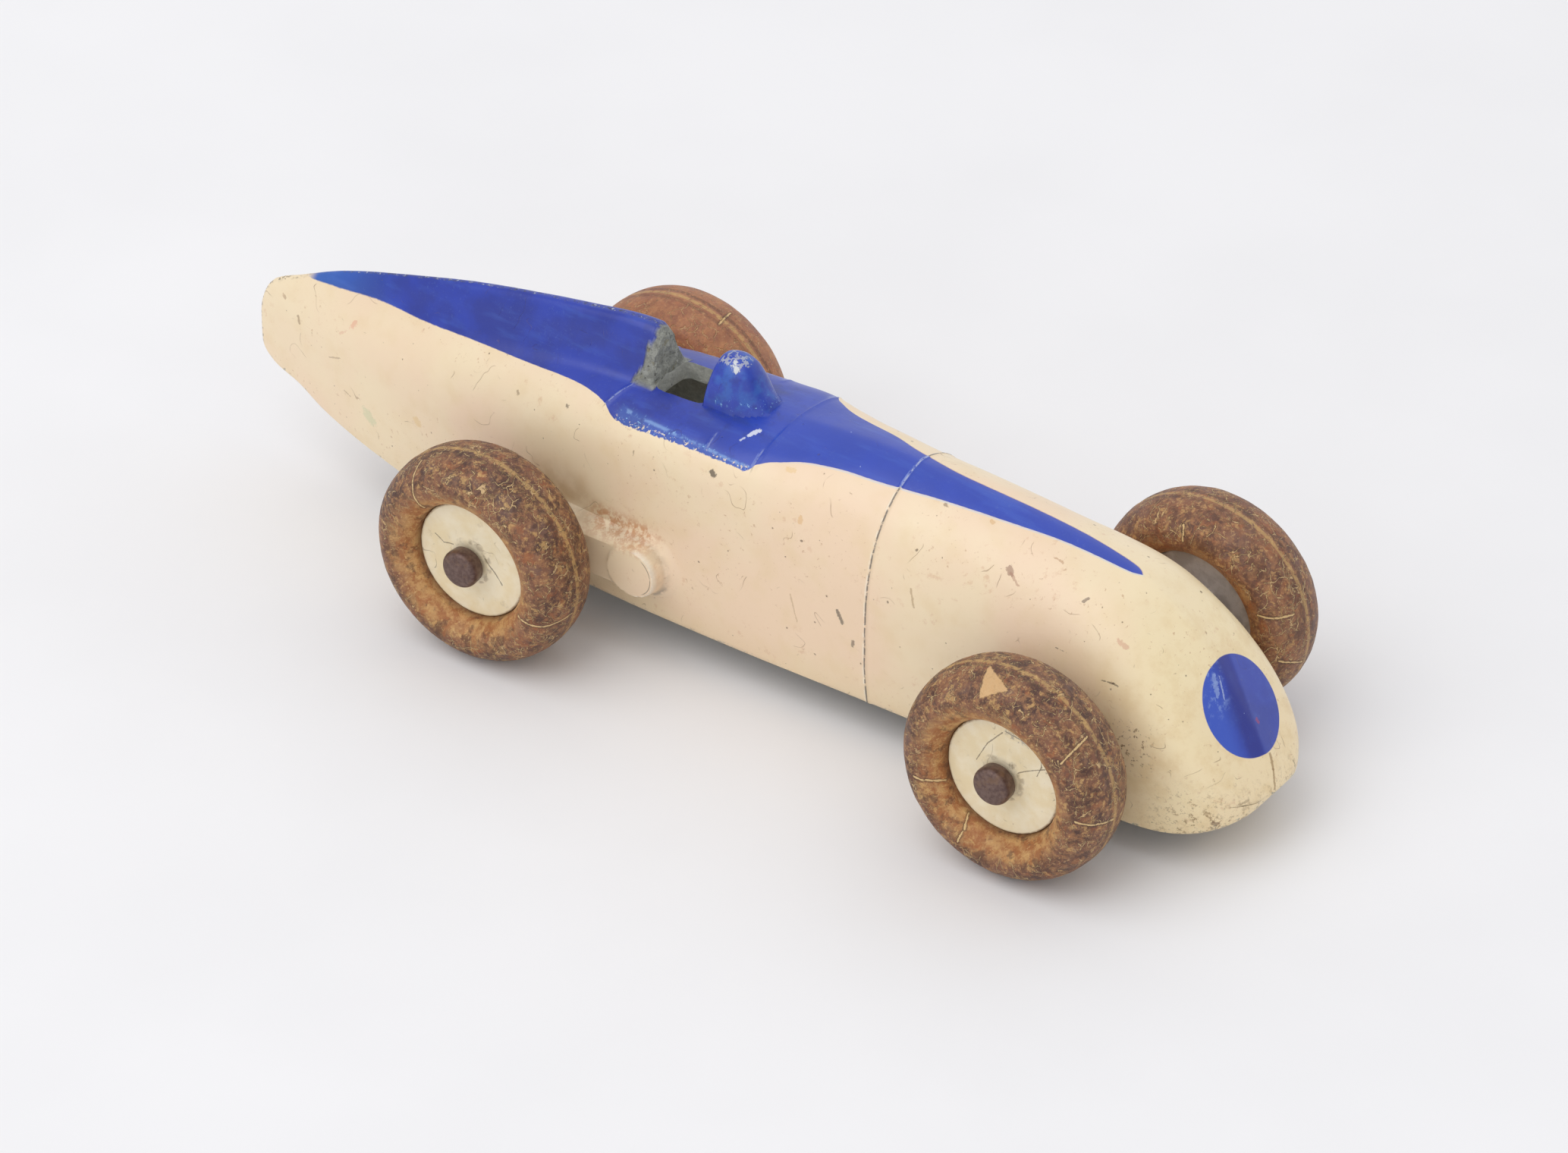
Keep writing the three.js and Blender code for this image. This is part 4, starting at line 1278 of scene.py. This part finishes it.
# Scratches on the hubs' outer faces, start and end as (s, y, z)
HUB_SCRATCHES = [
    ((78.7, -14.7, 12.7), (77.4, -14.7, 11.2)), ((77.4, -14.7, 11.2), (76.5, -14.7, 9.4)),
    ((82.0, -14.7, 12.3), (82.1, -14.7, 11.0)), ((82.1, -14.7, 11.0), (81.7, -14.7, 10.0)),
    ((80.2, -14.7, 9.8), (82.4, -14.7, 10.9)), ((79.0, -14.7, 12.9), (80.8, -14.7, 12.6)),
    ((27.4, -14.7, 9.9), (28.2, -14.7, 9.4)), ((28.2, -14.7, 9.4), (29.2, -14.7, 9.7)),
    ((32.2, -14.7, 9.6), (33.6, -14.7, 7.6)),
]


def hub_enamel():
    """Hub enamel: off-white, scratched and smudged, bare grey metal on its inner side."""
    m = Shader("hub_enamel")
    rim = m.attribute("rim")
    side = m.attribute("outer")
    medium = m.noise(1.7, 1, 4, 0.6)
    colour = m.mix(m.step(medium, 0.35, 0.65), "f3e6c8", "ecdab2")
    smudge = m.patchy(0.9, 2, 0.58, 0.7, 5, 0.7)
    colour = m.tint(colour, smudge, 0.3, "b9a888")
    hair = m.either(m.hairs(2.4, 0.006, 0.4, 3), m.hairs(1.3, 0.007, 0.3, 7))
    colour = m.tint(colour, hair, 0.45, "7f7059")
    dots = m.specks(0.9, 0.02, 0.07, 0.4, 9)
    colour = m.tint(colour, dots, 0.7, "5c4e3e")
    fuzz = m.noise(0.4, 50, 3, 0.7)
    for start, end in HUB_SCRATCHES:
        line = m.stroke(row_place(*start), row_place(*end), 0.05, fuzz, (0, 1, 0))
        colour = m.tint(colour, line, 0.7, "6b5c4a")
    top_smear = m.stroke(row_place(79.2, -14.7, 12.9), row_place(80.9, -14.7, 12.5), 0.35, fuzz, (0, 1, 0))
    top_smear = m.both(top_smear, m.patchy(0.35, 60, 0.45, 0.6, 4, 0.7))
    colour = m.tint(colour, top_smear, 0.6, "8d8a86")
    edge = m.both(m.step(rim, 4.6, 4.8), m.patchy(0.5, 11, 0.3, 0.6, 4))
    colour = m.tint(colour, edge, 0.7, "7d5631")
    round_axle = m.both(m.band(rim, 1.5, 1.95, 0.1), m.patchy(0.7, 12, 0.46, 0.62, 4))
    colour = m.tint(colour, round_axle, 0.5, "8a765a")
    metal = m.mix(m.step(medium, 0.4, 0.6), "cbc6c4", "b0aaa8")
    metal = m.tint(metal, m.patchy(0.5, 13, 0.5, 0.68, 4, 0.7), 0.6, "b3afa9")
    colour = m.mix(side, metal, colour)
    normal = m.bump(medium, 0.05)
    normal = m.bump(m.flip(m.either(hair, dots)), 0.02, normal)
    roughness = m.add(0.36, m.mul(m.noise(0.8, 14, 3), 0.22))
    return m.finish(colour, roughness, m.mul(m.flip(side), 0.3), normal)


def axle_steel():
    """Tarnished steel wire: dark brown-grey, with lighter, warmer patches."""
    m = Shader("axle_steel")
    grain = m.noise(0.35, 1, 5, 0.65)
    colour = m.mix(m.step(grain, 0.35, 0.65), "5a4540", "755f57")
    colour = m.tint(colour, m.patchy(0.8, 2, 0.5, 0.7, 4), 0.5, "80624a")
    normal = m.bump(grain, 0.04)
    return m.finish(colour, m.add(0.3, m.mul(grain, 0.2)), 0.5, normal)


def floor_material():
    m = Shader("floor")
    broad = m.noise(30, 1, 3)
    colour = m.mix(m.step(broad, 0.3, 0.7), "f1f0f1", "eeedee")
    return m.finish(colour, 0.9, 0.0, None, 0.1)


# ------------------------------------------------------------------ wear masks on the body's mesh

def paint_masks(body):
    """Vertex masks for worn edges, crevices and the bare faces of the casting."""
    mesh = body.data
    points = np.zeros(len(mesh.vertices) * 3)
    mesh.vertices.foreach_get("co", points)
    points = points.reshape(-1, 3) / MM
    s = points[:, 0] - ZERO_X
    y = points[:, 1]
    z = points[:, 2]
    side = np.abs(y)
    crown = curve(SPINE, s)
    spine = np.exp(-(y / 0.25) ** 2) * ramp(s, 5, 9) * ramp(-s, -38.4, -38.0) * (z > crown - 0.7)
    cowl_edge = np.exp(-((s - 43.42) / 0.16) ** 2) * ramp(z, 21, 21.5) * (side < 2.6)
    tail_edge = ramp(-s, -0.2, 0.2)
    tail_top = np.exp(-(y / 0.5) ** 2) * ramp(-s, -6, -4) * (z > crown - 0.5)
    set_attribute(body, "edge", np.clip(spine * 0.75 + cowl_edge + tail_edge + tail_top * 0.6, 0, 1))
    ragged = 0.45 * wobble(points, 81, 1.3, 3)
    reach = 38.05 - 0.9 * np.clip((24 - z) / 3, 0, 1)
    front_face = ramp(s + ragged - reach, -0.1, 0.1) * ramp(-s, -39.0, -38.9) * ramp(z, 20.2, 20.5)
    front_face *= ramp(-side, -2.7, -2.3)
    set_attribute(body, "bare", front_face)
    rear = boss_share(s, z, REAR_AXLE_S - 0.4, BUTTON_S, BUTTON_Z, 2.3, 0.5)
    around_boss = 4 * rear * (1 - rear) * (side > 6)
    cowl_foot = np.exp(-((side - 2.45) / 0.35) ** 2) * ramp(s, 43.3, 44) * ramp(-s, -48.4, -47.6)
    cowl_foot *= z > 20.5
    set_attribute(body, "crevice", np.clip(around_boss * 0.5 + 0.8 * cowl_foot, 0, 1))
    set_attribute(body, "keel", ramp(-(z - curve(KEEL, s)), -0.5, -0.15))


# ------------------------------------------------------------------ the car

body_paint = enamel()
inside_metal = casting_metal()
rubber = perished_rubber()
hub_paint = hub_enamel()
steel = axle_steel()

body = body_casting(body_paint, inside_metal)
paint_masks(body)
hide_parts("body_casting")
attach(body, "casting")

# How far each tyre's rubber has perished
TYRE_WEAR = {
    ("front", "right"): 1.0, ("rear", "right"): 1.0, ("front", "left"): 0.9, ("rear", "left"): 0.45,
}
for end in ("front", "rear"):
    wire = axle(end, steel)
    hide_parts(f"{end}_axle")
    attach(wire, f"{end}_axle_wire")
    for side in ("right", "left"):
        cast_hub = hub(end, side, hub_paint)
        solid_tyre = tyre(end, side, rubber, TYRE_WEAR[end, side])
        for piece, node, slot in ((cast_hub, "hub", "hub_enamel"), (solid_tyre, "tyre", "tyre_rubber")):
            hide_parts(f"{end}_{side}_{node}")
            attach(piece, f"{end}_{side}_wheel")


# ------------------------------------------------------------------ floor, light and camera

def add_floor():
    """Wide pale ground at z = 0."""
    mesh = bpy.data.meshes.new("floor")
    reach = 3.0
    corners = [(-reach, -reach, 0), (reach, -reach, 0), (reach, reach, 0), (-reach, reach, 0)]
    mesh.from_pydata(corners, [], [(0, 1, 2, 3)])
    floor = bpy.data.objects.new("floor", mesh)
    bpy.context.scene.collection.objects.link(floor)
    floor.data.materials.append(floor_material())


def add_softbox(name, place, size, power):
    """Round area light at this place, facing the middle of the ground."""
    light = bpy.data.lights.new(name, "AREA")
    light.shape = "DISK"
    light.size = size
    light.energy = power
    obj = bpy.data.objects.new(name, light)
    obj.location = place
    obj.rotation_euler = (-Vector(place)).to_track_quat("-Z", "Y").to_euler()
    bpy.context.scene.collection.objects.link(obj)


def add_world():
    """Plain studio surround: bright above and behind the car, duller in front of it and past its nose."""
    world = bpy.data.worlds.new("studio")
    world.use_nodes = True
    tree = world.node_tree
    background = tree.nodes["Background"]
    where = tree.nodes.new("ShaderNodeTexCoord").outputs["Generated"]
    level = None
    for direction, start, full, change in SURROUND:
        facing = tree.nodes.new("ShaderNodeVectorMath")
        facing.operation = "DOT_PRODUCT"
        facing.inputs[1].default_value = Vector(direction).normalized()
        tree.links.new(where, facing.inputs[0])
        share = tree.nodes.new("ShaderNodeMapRange")
        share.interpolation_type = "SMOOTHSTEP"
        share.inputs["From Min"].default_value = start
        share.inputs["From Max"].default_value = full
        share.inputs["To Max"].default_value = change
        tree.links.new(facing.outputs["Value"], share.inputs["Value"])
        total = tree.nodes.new("ShaderNodeMath")
        total.inputs[0].default_value = SURROUND_LEVEL
        if level is not None:
            tree.links.new(level, total.inputs[0])
        tree.links.new(share.outputs[0], total.inputs[1])
        level = total.outputs[0]
    background.inputs["Color"].default_value = (0.97, 0.98, 1.0, 1.0)
    tree.links.new(level, background.inputs["Strength"])
    bpy.context.scene.world = world


# Surround's plain strength, and its soft patches: direction, cosines where each starts and is full, change
SURROUND_LEVEL = 0.56
SURROUND = [
    ((0.05, 0.75, 0.6), 0.4, 0.97, 0.5),
    ((0.45, -0.85, 0.1), 0.0, 0.9, 0.38),
    ((0.92, -0.1, 0.4), 0.85, 0.98, -0.3),
]

CAMERA_PLACE = (0.29838, -0.42504, 0.36675)
CAMERA_AZIMUTH = math.radians(34.83)
CAMERA_ELEVATION = math.radians(34.84)
CAMERA_ROLL = math.radians(0.13)
CAMERA_LENS = 191.7


def add_camera():
    """Long lens, high in front of the car's right side."""
    data = bpy.data.cameras.new("camera")
    data.lens = CAMERA_LENS
    data.sensor_width = 36
    data.clip_start = 0.01
    camera = bpy.data.objects.new("camera", data)
    azimuth, elevation = CAMERA_AZIMUTH, CAMERA_ELEVATION
    right = Vector((math.cos(azimuth), math.sin(azimuth), 0))
    level = math.cos(elevation)
    back = Vector((math.sin(azimuth) * level, -math.cos(azimuth) * level, math.sin(elevation)))
    up = back.cross(right)
    turn = Matrix((right, up, back)).transposed() @ Matrix.Rotation(CAMERA_ROLL, 3, "Z")
    camera.matrix_world = Matrix.Translation(CAMERA_PLACE) @ turn.to_4x4()
    bpy.context.scene.collection.objects.link(camera)
    bpy.context.scene.camera = camera


add_floor()
add_world()
add_softbox("key", (-0.2, -0.4, 0.7), 0.9, 2.6)
add_camera()
bpy.context.scene.view_settings.view_transform = "Standard"

bpy.context.view_layer.update()
